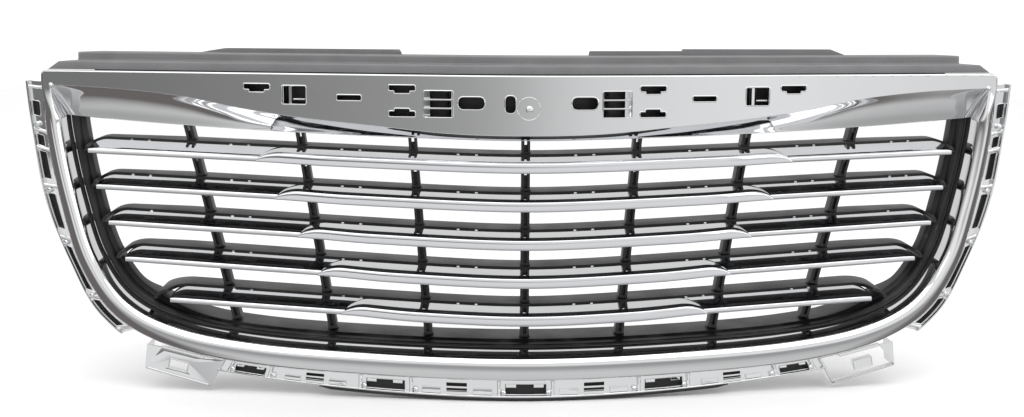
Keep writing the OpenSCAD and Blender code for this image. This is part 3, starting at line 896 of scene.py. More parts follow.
# %% Clip towers
def clip_tower(side):
    """A frame with two shelves, and cheeks that slope in beside the pockets."""
    x, z, w, h = TOWER
    x = x * side
    frame_profile = collar_profile(1.0, 0.9, 19, 1.1)
    parts = [collars([rectangle(x, z, w - 2, h - 2, 1.4)], frame_profile, chrome)]
    for shelf in (-1, 1):
        parts.append(block(x, z + shelf * (h - 2) / 6, w - 2.4, 1.9, 0.2, 19, 0.7))
    for cheek in (-1, 1):
        edge, throat = cheek * (w / 2 - 0.9), cheek * (w / 2 - 7)
        profile = [[edge, 0.9], [edge, 18], [throat, 18], [throat, 7.5]]
        parts.append(prism_up(profile if cheek > 0 else profile[::-1], z - h / 2 + 1, z + h / 2 - 1, x))
    return joined(*parts)


towers = bent(joined(clip_tower(-1), clip_tower(1)), PANEL_D - 0.6)
print("clip towers:", len(towers[1]), "faces")

# %% Gate ring, square pockets and screw bosses
GATE_R = 11.5
round_steps = np.linspace(0, 2 * math.pi, 64, endpoint=False)
gate_circle = np.column_stack([0.5 + GATE_R * np.cos(round_steps), 104 + GATE_R * np.sin(round_steps)])
ring_section = rounded([[0.3, 0.1], [0.26, -0.12], [0, -0.3], [-0.26, -0.12], [-0.3, 0.1]], 0.06, 2)
gate_ring = collars([gate_circle], ring_section, chrome)
gate_dome = turned([(0.01, -1.7), (1.4, -1.6), (2.6, -1.2), (3.4, -0.6), (3.8, 0.1), (0.01, 0.1)], 1.0, 103)
pocket_parts = []
for side in (-1, 1):
    outer_wall = [[-11.6, 0.4], [-11.6, 12], [-8.2, 12], [-8.2, 6]]
    pocket_parts.append(prism_up(outer_wall, 106.2, 123.8, side * 236))
    pocket_parts.append(prism_up([[-5.4, 5], [-5.4, 12], [-2.6, 12], [-2.6, 5]], 106.2, 123.8, side * 236))
    pocket_parts.append(block(side * 236 + 5, 110.6, 12, 1.6, 4, 12, 0.4))
small_parts = bent(joined(gate_ring, gate_dome, *pocket_parts), PANEL_D)

SCREW_PLACES = [(-310, 125), (-155, 119), (0, 124), (155, 119), (310, 125)]
boss_profile = [(2.1, 3), (5.2, 3), (4.6, 22), (4.4, 22.4), (2.3, 22.4), (2.1, 22.1)]
bosses = []
for x, z in SCREW_PLACES:
    tube = turned(boss_profile, x, z, 28)
    lining = [[5 * 28 + j, j, (j + 1) % 28, 5 * 28 + (j + 1) % 28] for j in range(28)]
    tube = (tube[0], tube[1][:-2] + lining)
    bosses += [tube, block(x, z, 13, 1.4, 3, 14, 0.3), block(x, z, 1.4, 13, 3, 14, 0.3)]
bosses = bent(joined(*bosses), PANEL_D)
print("gate ring, pockets and bosses:", len(small_parts[1]) + len(bosses[1]), "faces")

# %% The panel as one piece
panel_shape = joined(face_shape, top_roll, window_collars, towers, small_parts, bosses)
panel_mesh = mesh_of("badge_panel", panel_shape, 40)
flat_normals(panel_mesh, PANEL_D)
badge_panel = link("badge_panel", panel_mesh, chrome)
settle(badge_panel, "bright_chrome", "emblem_panel")

# %% [markdown]
# ## The cove
#
# Under the flat face the plating turns back in a hollow that is narrow in the middle and
# tall at the ends. A hollow mirror bends what it reflects into long bands, so this is a
# loft with many points across the hollow and a thin bead along each edge. A round ridge
# with a knob at its top runs down each end, where the cove meets the surround.

# %% Cove
COVE_D = 26


def bead(x, d, z, r):
    """A thin round bead that follows the sweep through points."""
    a = np.linspace(0, 2 * math.pi, 10, endpoint=False)
    ring_d = d[:, None] + r * np.cos(a)[None, :]
    ring_z = z[:, None] + r * np.sin(a)[None, :]
    return loft(place(np.broadcast_to(x[:, None], ring_d.shape), ring_d, ring_z))


def mitre_ridge(side, shares):
    """The round ridge down each end of the cove, with a knob at its top."""
    t, back = shares[:, 0], shares[:, 1]
    x, d, z = side * mix(489, 473.5, t), mix(PANEL_D, COVE_D, back) + 1.4, mix(121, 89.5, t)
    a = np.linspace(0, 2 * math.pi, 16, endpoint=False)
    r = mix(3.3, 4.3, smooth(t * 2))[:, None]
    ridge = loft(place(x[:, None] + r * np.cos(a), d[:, None] + r * np.sin(a), z[:, None] + 0 * a))
    knob = turned([(0.01, -2.4), (1.5, -2.1), (2.4, -1.2), (2.7, 0.4), (0.01, 0.4)], side * 489, 121.5, 20)
    return joined(ridge, bent(knob, PANEL_D))


def cove_shape():
    s = np.linspace(-1, 1, 321)
    shares = through(np.array([[[0, 0], [0.34, 0.43], [0.68, 0.77], [1, 1]]], float), 7)[0]
    x_top, x_low = 488 * s, 471 * s
    z_top, z_low = height_on(CREASE, x_top) - 0.05, height_on(COVE, x_low)
    x = mix(x_top[:, None], x_low[:, None], shares[None, :, 0])
    z = mix(z_top[:, None], z_low[:, None], shares[None, :, 0])
    d = np.broadcast_to(mix(PANEL_D, COVE_D, shares[None, :, 1]), x.shape)
    back = slice(None, None, -1)
    rear = place(x[:, back], d[:, back] + SHELL_T, z[:, back] + 0.3)
    rings = np.concatenate([place(x, d, z), rear], axis=1)
    crease_bead = bead(x_top, np.full_like(x_top, PANEL_D + 0.85), z_top + 0.25, 0.85)
    low_bead = bead(x_low, np.full_like(x_low, COVE_D + 1.2), z_low + 0.5, 1.25)
    ridges = [mitre_ridge(side, shares) for side in (-1, 1)]
    return joined(loft(rings, caps="strip"), crease_bead, low_bead, *ridges)


cove = link("panel_cove", mesh_of("panel_cove", cove_shape(), 50), chrome)
settle(cove, "bright_chrome", "emblem_cove")

# %% [markdown]
# ## The five bars
#
# Each bar is a plated strip with a nearly flat top that rolls over into a narrow nose. Its
# middle part stands proud of the rest and ends in a leaf-shaped step. The step is crisp, so
# it is not part of the strip's own loft: a second body, the leaf, is lofted over the strip
# and tapers down to its lower edge. The ends of a bar curve down and forward under the vane.
# Small bright clip tips show on the joint behind each bar. A bar's underside and back are
# black, as painted shade: its faces that point down or back get the black plastic as a second material.

# %% Bar rules
BAR_SPAN = [454.6, 447.1, 435.3, 418.8, 372]
VANE_SPAN = [458.4, 451.4, 442.2, 428.2, 389]
BAR_SAG = [0.030, 0.035, 0.040, 0.045, 0.042]
BAR_WIDE = [250, 231, 208, 187, 163]
BAR_TOP_Z = 38.4
BAR_PITCH = 39.35
RIB_PITCH = 117.2
RIB_FAN = 0.078
BAR_STEP = 28
BAR_H = 14.6
BAR_BACK = 44
END_R = 16
NARROW_NOSE = 15
PROUD_NOSE = 5


def bar_bottom(i, x):
    return BAR_TOP_Z - BAR_PITCH * i + BAR_SAG[i] * soft_v(np.asarray(x, float), 60)


def rib_x(k, z):
    return k * (RIB_PITCH + RIB_FAN * (z - 65))


def end_drop(x, tip, r):
    e = np.clip((np.abs(x) - tip + r) / r, 0, 1)
    return 1 - np.sqrt(1 - e * e)


def bar_stations(tip, r):
    """Places along a bar or vane: even in the middle, closer together round the ends."""
    middle = np.linspace(0, tip - r, 110)
    end = tip - r + r * np.sin(np.radians(np.linspace(6, 90, 15)))
    half = np.concatenate([middle, end])
    return np.concatenate([-half[:0:-1], half])


def bar_back(i, x):
    return mix(BAR_BACK, NARROW_NOSE + 5, end_drop(x, BAR_SPAN[i], END_R) * 0.97)


def sections(x, z, rows):
    """Stacks rows of (depth, height over z) into control points for each station."""
    zero = np.zeros_like(x)
    return np.stack([np.stack([d + zero, z + h + zero], -1) for d, h in rows], axis=1)


print("bar heights at the centre:", [round(float(bar_bottom(i, 0)), 1) for i in range(5)])


# %% Strip, leaf and bar
def strip_shape(i):
    x = bar_stations(BAR_SPAN[i], END_R)
    drop = end_drop(x, BAR_SPAN[i], END_R) * 0.97
    z, back = bar_bottom(i, x), bar_back(i, x)
    nose, face = NARROW_NOSE, 4.5
    top = mix(BAR_H - 0.7, face + 0.6, drop)
    front = through(sections(x, z, [
        (nose + 2.2, 0.0), (nose + 0.5, 0.35), (nose - 0.1, 1.4), (nose - 0.15, 3.2),
        (mix(nose, back, 0.05), mix(face, top, 0.14)), (mix(nose, back, 0.34), mix(face, top, 0.55)),
        (mix(nose, back, 0.62), mix(face, top, 0.82)), (back, top)]), 5)
    rear = sections(x, z, [(back, top - mix(3.0, 1.6, drop)), (mix(nose, back, 0.4), mix(3.0, 1.6, drop)),
                           (nose + 5, 1.4)])
    section = np.concatenate([front, rear], axis=1)
    return loft(place(x[:, None], section[:, :, 0], section[:, :, 1]))


def leaf_shape(i):
    reach = BAR_WIDE[i] + BAR_STEP
    taper = BAR_WIDE[i] + BAR_STEP * np.sin(np.radians(np.linspace(0, 89, 22)))
    half = np.concatenate([np.linspace(0, BAR_WIDE[i] - 3, 70), taper])
    x = np.concatenate([-half[:0:-1], half])
    q = np.clip((reach - np.abs(x)) / BAR_STEP, 0, 1)
    h = np.sqrt(1 - (1 - q) ** 2)
    nose = mix(NARROW_NOSE - 0.6, PROUD_NOSE, smooth(np.clip((reach - np.abs(x)) / 80, 0, 1)))
    z = bar_bottom(i, x) - 0.06
    front = through(sections(x, z, [
        (nose + 2.0, 0.0), (nose + 0.35, 0.3 * h), (nose - 0.1, 1.5 * h), (nose - 0.25, 4.6 * h),
        (nose - 0.1, 8.2 * h), (nose + 1.1, 10.3 * h), (mix(nose, BAR_BACK, 0.13), 11.9 * h),
        (mix(nose, BAR_BACK, 0.26), 12.8 * h), (mix(nose, BAR_BACK, 0.5), 13.5 * h),
        (BAR_BACK - 1, 14.0 * h)]), 4)
    rear = sections(x, z, [(BAR_BACK - 1.5, 12.8 * h), (nose + 14, 2.5 * h), (nose + 6, 0.9 * h)])
    section = np.concatenate([front, rear], axis=1)
    return loft(place(x[:, None], section[:, :, 0], section[:, :, 1]))


# %% Clips between the bars and the vanes
CLIP_X = np.array([s * x for x in (60.5, 181, 298, 404) for s in (-1, 1)])


def clip_tips(i):
    """The bright tips of each clip, in pairs, that show on the joint behind a bar."""
    x = np.concatenate([CLIP_X - 9.4, CLIP_X + 9.4])
    x = x[np.abs(x) < BAR_SPAN[i] - 30]
    outline = rounded([[-1.5, 0], [1.5, 0], [1.3, 0.8], [-1.3, 0.8]], 0.2, 3)
    ends = [np.column_stack([outline[:, 0], np.full(len(outline), d), outline[:, 1]])
            for d in (-1.6, 0.2)]
    tip = loft(np.array(ends))
    turns = [(0, 0, math.atan(slope)) for slope in bow_slope(x)]
    at = place(x, BAR_BACK, bar_bottom(i, x) + BAR_H - 0.7)
    return repeated((tip[0] * MM, tip[1]), at, turns, [(1, 1, 1)] * len(x), bar_chrome)


def shade_black_beneath(mesh):
    """Gives the black second material to a bar's underside and back, as painted shade there."""
    for face in mesh.polygons:
        face.material_index = 1 if face.normal.z < -0.6 or face.normal.y > 0.6 else 0


for i in range(5):
    bar_mesh = mesh_of(f"bar_{i + 1}", joined(strip_shape(i), leaf_shape(i), clip_tips(i)), 55)
    bar = link(f"bar_{i + 1}", bar_mesh, bar_chrome, black_plastic)
    # Faces of the bar that point down or back are painted black as shade.
    shade_black_beneath(bar_mesh)
    settle(bar, "bar_chrome", f"chrome_bar_{i + 1}")

# %% [markdown]
# ## The black insert: vanes and frame
#
# Behind each bar lies a black vane, 40 mm deep, whose ends curl down round the bar. Its
# section is drawn square to that curl, so the wall keeps its thickness. The insert's frame
# has a stepped front and a wall that is deep along the bottom, where it is the lowest slat,
# and shallower up the sides.

# %% Vanes
VANE_DEPTH = 40
VANE_T = 3.4


def vane_shape(i):
    tip = VANE_SPAN[i]
    r = tip - BAR_SPAN[i] + END_R
    x = bar_stations(tip, r)
    z = bar_bottom(i, x) + mix(BAR_H + 1, 4, end_drop(x, tip, r)) - VANE_T / 2
    tangent = np.stack([np.gradient(x), np.gradient(z)], axis=1)
    tangent /= np.linalg.norm(tangent, axis=1, keepdims=True)
    normal = np.stack([-tangent[:, 1], tangent[:, 0]], axis=1)
    front = mix(BAR_BACK + 0.3, NARROW_NOSE + 5.3, end_drop(x, BAR_SPAN[i] + 1.5, END_R) * 0.97)
    rear = np.minimum(BAR_BACK + VANE_DEPTH, 130 - bow(x))
    t = VANE_T / 2
    corners = np.stack([np.stack([front, 0 * x + t], -1), np.stack([rear, 0 * x + t], -1),
                        np.stack([rear, 0 * x - t], -1), np.stack([front, 0 * x - t], -1)], axis=1)
    section = rounded(corners, [0.5, 1.2, 1.2, 0.5], 3)
    px = x[:, None] + normal[:, None, 0] * section[:, :, 1]
    pz = z[:, None] + normal[:, None, 1] * section[:, :, 1]
    return loft(place(px, section[:, :, 0], pz))


def clip_sockets(i):
    """Blocks that hang under a vane's front edge: wide ones at the ribs, low ones between."""
    spans = [(rib_x(k, float(bar_bottom(i, 0))), 25, 7) for k in range(-3, 4)] + [(x, 17, 3) for x in CLIP_X]
    spans = [row for row in spans if abs(row[0]) < BAR_SPAN[i] - 26]
    outline = rounded([[-0.5, 0.4], [-0.5, -0.4], [-0.3, -0.5], [-0.22, -1], [0.22, -1], [0.3, -0.5],
                       [0.5, -0.4], [0.5, 0.4]], 0.03, 2)
    rings = [np.column_stack([outline[:, 0], np.full(len(outline), d), outline[:, 1]]) for d in (0, 12)]
    socket = loft(np.array(rings))
    x = np.array([row[0] for row in spans])
    turns = [(0, 0, math.atan(slope)) for slope in bow_slope(x)]
    at = place(x, BAR_BACK + 2, bar_bottom(i, x) + BAR_H + 1 - VANE_T)
    sizes = [(w, 1, h) for _, w, h in spans]
    return repeated((socket[0] * MM, socket[1]), at, turns, sizes, black_plastic)


for i in range(5):
    vane_parts = joined(vane_shape(i), clip_sockets(i))
    vane = link(f"vane_{i + 1}", mesh_of(f"vane_{i + 1}", vane_parts, 40), black_plastic)
    settle(vane, "black_grained", f"louvre_{i + 1}")


# %% Insert frame
def frame_start(u):
    return rim_face(u) + RIM_RETURN + 0.2


def frame_w(u):
    return mix(6, 12.5, smooth((np.abs(u) - 2.4) / 1.4))


def insert_frame_shape():
    u = np.linspace(-LAST * 0.965, LAST * 0.965, 321)
    f, w = frame_start(u), frame_w(u)
    rear = mix(BAR_BACK + VANE_DEPTH, 57, smooth((np.abs(u) - 3) / 1.2))
    rows = [(32, f), (31, f + 0.24 * w), (33, f + 0.48 * w), (40, f + 0.6 * w), (43, f + w),
            (rear, f + w + 1), (rear, f + w - 1.6), (47, f + w - 2.6), (43.5, f + 0.36 * w),
            (36, f + 0.2 * w), (34.5, f)]
    corners = np.stack([np.stack([d + 0 * u, v], -1) for d, v in rows], axis=1)
    section = rounded(corners, [0.4, 1.0, 0.8, 1.2, 1.0, 0.8, 0.8, 1.0, 1.0, 0.5, 0.4], 3)
    return loft(rim_points(u, section[:, :, 0], section[:, :, 1]))


insert_frame_mesh = mesh_of("insert_frame", insert_frame_shape(), 40)
insert_frame = link("insert_frame_moulding", insert_frame_mesh, black_plastic)
settle(insert_frame, "black_grained", "insert_frame")

# %% [markdown]
# ## Divider ribs
#
# Seven ribs fan out upwards through the insert. Each is a short post between one vane and
# the next, moulded as two walls with a web between them that stops half-way, so a slit of
# light shows at the top of a post that faces the eye. One post is modelled with a height of
# one metre, and Geometry Nodes put it on every place with its own height and lean.

# %% Rib posts
POST_FRONT = BAR_BACK + 6
POST_DEPTH = 17


def upright(x0, x1, y0, y1, z0, z1, r=0.4):
    """An upright prism in millimetres with rounded vertical edges."""
    plan = rounded([[x0, y0], [x1, y0], [x1, y1], [x0, y1]], r, 3)
    return loft(np.array([np.column_stack([plan, np.full(len(plan), z)]) for z in (z0, z1)]))


def tapered(w0, w1, y0, y1, z0, z1):
    """A block that narrows upwards."""
    rings = []
    for w, z in ((w0, z0), (w1, z1)):
        plan = rounded([[-w, y0], [w, y0], [w, y1], [-w, y1]], 0.4, 3)
        rings.append(np.column_stack([plan, np.full(len(plan), z)]))
    return loft(np.array(rings))


post = joined(upright(-4.4, -1.6, 0, POST_DEPTH, 0, 1), upright(1.6, 4.4, 0, POST_DEPTH, 0, 1),
              upright(-2, 2, 5, 7, 0, 0.45), tapered(5.4, 4.3, 1, POST_DEPTH - 1, 0, 0.09))
post = (post[0] * [MM, MM, 1], post[1])


def rib_shape(k):
    """All posts of one rib, from the header down to the insert's lowest slat."""
    level = rib_x(k, 0)
    vane_tops = [float(bar_bottom(i, level)) + BAR_H + 1 for i in range(5)]
    header_low = float(height_on(COVE, rib_x(k, 74))) + 3
    frame_top = float(height_on(RIM, rib_x(k, -140)) + frame_start(0)) + 7
    highs = [header_low] + [top - VANE_T + 0.2 for top in vane_tops]
    lows = [top - 0.2 for top in vane_tops] + [frame_top - 0.5]
    points = np.vstack([place(rib_x(k, z), POST_FRONT, z) for z in lows])
    lean = math.atan(RIB_FAN * k)
    turns = [(0, lean, 0)] * len(lows)
    sizes = [(1, 1, (high - low) * MM / math.cos(lean)) for high, low in zip(highs, lows)]
    return repeated(post, points, turns, sizes, black_plastic)


for k in range(-3, 4):
    rib = link(f"rib_{k + 4}", mesh_of(f"rib_{k + 4}", rib_shape(k), 40), black_plastic)
    settle(rib, "black_grained", f"divider_rib_{k + 4}")

# %% [markdown]
# ## Header
#
# The header is the black wall behind the badge panel. Its CAD shape is right, bores and
# all, so the node stays and gets the grained plastic. What a moulding of this length also
# has is a row of stiffening gussets on its rear, and these are added as a piece.

# %% Header and its stiffeners
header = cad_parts["insert_header"]
header.data.materials.clear()
header.data.materials.append(black_plastic)

gusset_side = rounded([[0, 0], [0, -52], [4, -52], [30, -6], [34, 0]], [0.2, 0.2, 2, 6, 0.4], 3)
gusset = loft(np.array([np.column_stack([np.full(len(gusset_side), x), gusset_side]) for x in (-0.9, 0.9)]))
gusset = (gusset[0] * MM, gusset[1])
gusset_x = np.array([x for x in np.arange(-435, 436, 29) if min(abs(x - s) for s, _ in SCREW_PLACES) > 9
                     and min(abs(x - s) for s in (-400, -255, -85, 85, 255, 400)) > 8])
room_below = 139.5 - (height_on(COVE, gusset_x) + 4)
gusset_turns = [(0, 0, math.atan(s)) for s in bow_slope(gusset_x)]
gusset_sizes = [(1, 1, min(1, r / 52)) for r in room_below]
stiffeners = repeated(gusset, place(gusset_x, 32.8, 139.2), gusset_turns, gusset_sizes, black_plastic)
stiffener_mesh = mesh_of("header_stiffeners", stiffeners, 40)
settle(link("header_stiffeners", stiffener_mesh, black_plastic), "black_grained")

# %% [markdown]
# ## Close-out panel
#
# The grey panel along the top is one folded moulding: a front lip, a shelf, a riser and a
# top flange, each a little shorter than the one before it. Its section carries its own half
# width, so the ends slant and step in as the fold goes up. Five fixing holes are cut right through
# the flange with a boolean, because a painted hole would show from above.

# %% Folded section
LIP_Z, SHELF_Z, SHEET_T = 137.2, 145.5, 2.5


def closeout_shape():
    corners = [(19, LIP_Z, 495), (19, SHELF_Z, 483), (48, SHELF_Z + 0.2, 470), (48, FLANGE_TOP, 470),
               (77.9, FLANGE_TOP, 450), (77.9, FLANGE_TOP - SHEET_T, 450), (50.5, FLANGE_TOP - SHEET_T, 470),
               (50.5, SHELF_Z - SHEET_T, 470), (21.5, SHELF_Z - SHEET_T, 483), (21.5, LIP_Z, 495)]
    section = rounded(corners, [0.6, 1.8, 1.5, 2.0, 0.9, 0.9, 1.0, 2.2, 1.0, 0.6], 4)
    s = np.linspace(-1, 1, 181)[:, None]
    x = s * section[None, :, 2]
    return loft(place(x, section[None, :, 0], section[None, :, 1]))


def drilled(mesh, holes):
    """Cuts upright round holes, given as x, y, radius in metres, through a mesh."""
    target = bpy.data.objects.new("target", mesh)
    cutter_parts = []
    for x, y, r in holes:
        a = np.linspace(0, 2 * math.pi, 40, endpoint=False)
        rings = [np.column_stack([x + r * np.cos(a), y + r * np.sin(a), np.full(40, z)])
                 for z in (-0.0058, 0.02)]
        cutter_parts.append(loft(np.array(rings)))
    cutter = link("cutter", mesh_of("cutter", joined(*cutter_parts)))
    bpy.context.scene.collection.objects.link(target)
    cut = target.modifiers.new("holes", "BOOLEAN")
    cut.operation = "DIFFERENCE"
    cut.solver = "EXACT"
    cut.object = cutter
    graph = bpy.context.evaluated_depsgraph_get()
    result = as_shape(bpy.data.meshes.new_from_object(target.evaluated_get(graph)))
    bpy.data.objects.remove(target)
    bpy.data.objects.remove(cutter)
    return result


fixing = [(0, 4.2)] + [(s * x, 3.4) for s in (-1, 1) for x in (170, 340)]
holes = [(x * MM, float(bow(x)) * MM + 64 * MM + DATUM[1], r * MM) for x, r in fixing]
folded = drilled(mesh_of("folded", closeout_shape()), holes)
print("folded panel with", len(holes), "holes:", len(folded[1]), "faces")


# %% Upstands, posts and the whole panel
left_tab = [[-350, 153], [-316, 158.5], [-131, 159], [-128, 153]]
right_tab = [[66, 153], [350, 153], [331, 160], [167, 160.5], [166, 158.5], [67, 158.5]]
upstands = []
for outline, radii in ((left_tab[::-1], 1.5), (right_tab, [0.5, 0.5, 3, 1, 0.6, 1.5])):
    tab = cut_sheet([rounded(outline, radii, 3)], SHEET_T, 0.4)
    slice_across(tab[0], BEND_PLACES)
    upstands.append(sheet_on_sweep(tab, 75.5))
CLOSEOUT_SCREWS = [-400, -255, -85, 85, 255, 400]
tube = [(2.1, 0), (4.9, 0), (4.5, 10), (4.5, 11.4), (2.1, 11.4)]
sleeves = []
for x in CLOSEOUT_SCREWS:
    rings = turned(tube, 0, 0, 28)
    walls = rings[1][:-2] + [[4 * 28 + j, j, (j + 1) % 28, 4 * 28 + (j + 1) % 28] for j in range(28)]
    at = place(x, 62, 142.2)
    sleeves.append((rings[0] * MM + at, walls))
closeout = mesh_of("closeout", joined(folded, *upstands, *sleeves), 35)
settle(link("closeout_moulding", closeout, grey_plastic), "grey_satin", "closeout_panel")

# %% [markdown]
# ## Clip flanges
#
# Round the outside of the surround runs a plated flange that clips into the bumper. It is a
# ladder: an inner rail, an outer lip, and windows between them with rolled edges. Its shape
# lies between two outlines, so windows and pillars are given by where they are along the
# outline (u) and how far across it they are (f, from 0 at the surround to 1 at the edge).
# Black sheets close the windows from behind: painted shade for the dark seen through them. They are a piece
# of the looks with no CAD node.

# %% Places on the flange
EAR_FROM, EAR_TO = 2.35, 3.6
SIDE_SLOTS = [(7.27, 7.57), (6.76, 6.92), (6.3, 6.67), (5.55, 6.08), (4.5, 5.25), (3.75, 4.3)]
LOWER_SLOTS = [0, 0.97, 2.05]
TRAY_SLOTS = [0.47, 1.5]
FLANGE_D = 17


def on_flange(u, f):
    u = np.atleast_1d(np.asarray(u, float))
    return mix(curve_through(RIM, u), curve_through(FLANGE, u), f)


def strip_outline(u0, u1, f0, f1, r=0.0):
    """Outline of a stretch of flange, anticlockwise on the right half."""
    u0, u1 = min(u0, u1), max(u0, u1)
    steps = max(3, int(abs(u1 - u0) * 14))
    u = np.linspace(u0, u1, steps)
    low, high = on_flange(u, f1), on_flange(u[::-1], f0)
    outline = np.vstack([low, high])
    if r:
        outline = rounded(outline, r, 2)
    return outline


def lip(u0, u1, f0, f1, d0, d1):
    """The rolled outer lip: a rounded rail that stands out from the flange both ways."""
    u = np.linspace(u0, u1, max(12, int(abs(u1 - u0) * 30)))
    inner, outer = on_flange(u, f0), on_flange(u, f1)
    across = np.linalg.norm(outer - inner, axis=1)
    none = 0 * across
    corners = np.stack([np.stack([none, none + d0], -1), np.stack([across, none + d0], -1),
                        np.stack([across, none + d1], -1), np.stack([none, none + d1], -1)], 1)
    section = rounded(corners, [0.9, 0.9, 0.5, 0.5], 3)
    way = (outer - inner) / across[:, None]
    p = inner[:, None, :] + way[:, None, :] * section[:, :, :1]
    return loft(place(p[:, :, 0], section[:, :, 1], p[:, :, 1]))


window_profile = collar_profile(0.9, 0.5, 10, 1.0)
print("flange width at the side:", round(float(np.linalg.norm(on_flange(7, 1) - on_flange(7, 0))), 1), "mm")


# %% Pillars between windows
def pillar_shape():
    """A round-headed pillar that stands out from the flange, 1 m long before scaling."""
    length = np.linspace(0, 1, 9)
    rings = []
    for t in length:
        half = 2.1 - 0.5 * math.sin(math.pi * t)
        section = rounded([[-half, 0], [half, 0], [half, -4.6], [-half, -4.6]], [0.2, 0.2, 1.5, 1.5], 3)
        rings.append(np.column_stack([section[:, 0] * MM, section[:, 1] * MM, np.full(len(section), t)]))
    return loft(np.array(rings))


def pillars(places, f0, f1):
    """Pillars across the flange at the given places along it."""
    low, high = on_flange(places, f1), on_flange(places, f0)
    points = place(low[:, 0], FLANGE_D + 0.4, low[:, 1])
    ends = place(high[:, 0], FLANGE_D + 0.4, high[:, 1])
    way = ends - points
    sizes = [(1, 1, float(np.linalg.norm(w))) for w in way]
    turns = [(0, math.atan2(w[0], w[2]), 0) for w in way]
    return repeated(pillar_shape(), points, turns, sizes, chrome)


def knobs(places, f):
    """Small round clip heads on the flange."""
    centres = on_flange(places, f)
    peg = [(0.01, -5.2), (1.6, -5.0), (2.6, -4.2), (3.0, -3), (2.6, 0.5), (0.01, 0.5)]
    return [bent(turned(peg, x, z, 18), FLANGE_D)
            for x, z in centres]


print("a pillar has", len(pillar_shape()[1]), "faces")


# %% Side flanges
def side_flange_shape(s):
    slots = [strip_outline(s * a, s * b, 0.36, 0.8, 0.8) for a, b in SIDE_SLOTS]
    edge = strip_outline(s * EAR_TO, s * LAST, 0, 0.98)
    plate = cut_sheet([edge] + slots, SHELL_T)
    parts = [sheet_on_sweep(plate, FLANGE_D), lip(s * EAR_TO, s * LAST, 0.86, 1, 12, 30)]
    parts.append(bent(collars(slots, window_profile, chrome), FLANGE_D))
    between = [LAST - 0.12, 7.0, 6.72, 6.2, 5.4, 4.38, 3.68]
    parts.append(pillars(s * np.array(between), 0.05, 0.9))
    parts += knobs(s * np.array([7.1, 6.14, 5.32, 4.4]), 0.62)
    return joined(*parts)


for s, side in ((-1, "left"), (1, "right")):
    flange = link(f"side_flange_{side}", mesh_of("flange", side_flange_shape(s), 24), chrome)
    settle(flange, "bright_chrome", f"clip_flange_{side}")


# %% Lower flange
def lower_flange_shape():
    windows_at = sorted({s * u for s in (-1, 1) for u in LOWER_SLOTS})
    trays_at = [s * u for s in (-1, 1) for u in TRAY_SLOTS]
    cuts, teeth = [], []
    for u in windows_at:
        cuts.append(strip_outline(u - 0.14, u + 0.14, 0.3, 0.84, 0.5))
        for a in (-0.1, 0.09):
            teeth.append(strip_outline(u + a - 0.035, u + a + 0.035, 0.26, 0.5, 0.4))
    for u in trays_at:
        for f in (0.28, 0.58):
            cuts.append(strip_outline(u - 0.07, u + 0.07, f, f + 0.2, 0.3))
    plate = cut_sheet([strip_outline(-EAR_FROM, EAR_FROM, 0, 0.98)] + cuts, SHELL_T)
    slice_across(plate[0], np.arange(-148, 150, 8))
    parts = [sheet_on_sweep(plate, FLANGE_D), lip(-EAR_FROM, EAR_FROM, 0.88, 1, 12, 30)]
    parts.append(bent(collars(cuts[:len(windows_at)], collar_profile(0.7, 0.6, 9, 0.9), chrome), FLANGE_D))
    parts += [sheet_on_sweep(cut_sheet([tooth], 2.2, 0.4), FLANGE_D + 0.4) for tooth in teeth]
    edges = sorted([u + a for u in windows_at for a in (-0.185, 0.185)])
    edges = [u for u in edges if abs(u) < EAR_FROM - 0.05]
    parts.append(pillars(np.array(edges), 0.1, 0.94))
    parts += knobs(np.array([u + (0.03 if u < 0 else -0.03) for u in edges]), 0.72)
    for u in trays_at:
        for a in (-0.24, 0.11):
            shelf = strip_outline(u + a, u + a + 0.13, 0.55, 0.86, 0.3)
            parts.append(sheet_on_sweep(cut_sheet([shelf], 3.4, 0.5), FLANGE_D - 2.4))
    return joined(*parts)


lower_flange = link("lower_flange", mesh_of("lower_flange", lower_flange_shape(), 24), chrome)
settle(lower_flange, "bright_chrome", "clip_flange_lower")

# %% Painted shade: black sheets behind the clip windows
def window_shade_shape():
    """Black sheets that close each clip window from behind: painted shade for the dark seen through it."""
    places = [(s * a, s * b, 0.34, 0.82) for s in (-1, 1) for a, b in SIDE_SLOTS]
    lower = sorted({s * u for s in (-1, 1) for u in LOWER_SLOTS})
    places += [(u - 0.15, u + 0.15, 0.28, 0.86) for u in lower]
    places += [(s * u - 0.09, s * u + 0.09, 0.25, 0.8) for s in (-1, 1) for u in TRAY_SLOTS]
    shade_sheets = []
    for place_at in places:
        sheet = cut_sheet([strip_outline(*place_at)], 3, 0.3)
        slice_across(sheet[0], BEND_PLACES)
        shade_sheets.append(sheet_on_sweep(sheet, FLANGE_D + 5.5))
    return joined(*shade_sheets)


# These black sheets are painted shade for the dark seen through the clip windows.
settle(link("insert_hooks", mesh_of("insert_hooks", window_shade_shape(), 40), black_plastic), "black_grained")

# %% [markdown]
# ## Bumper brackets
#
# At each lower corner a flat bracket carries the bumper skin. It has a long thin slot, a
# keyed hole with a turned-in edge, and two side gussets that run back.

# %% Brackets
EAR = [[315, -166], [398, -150.5], [401, -177], [331, -194.5]]


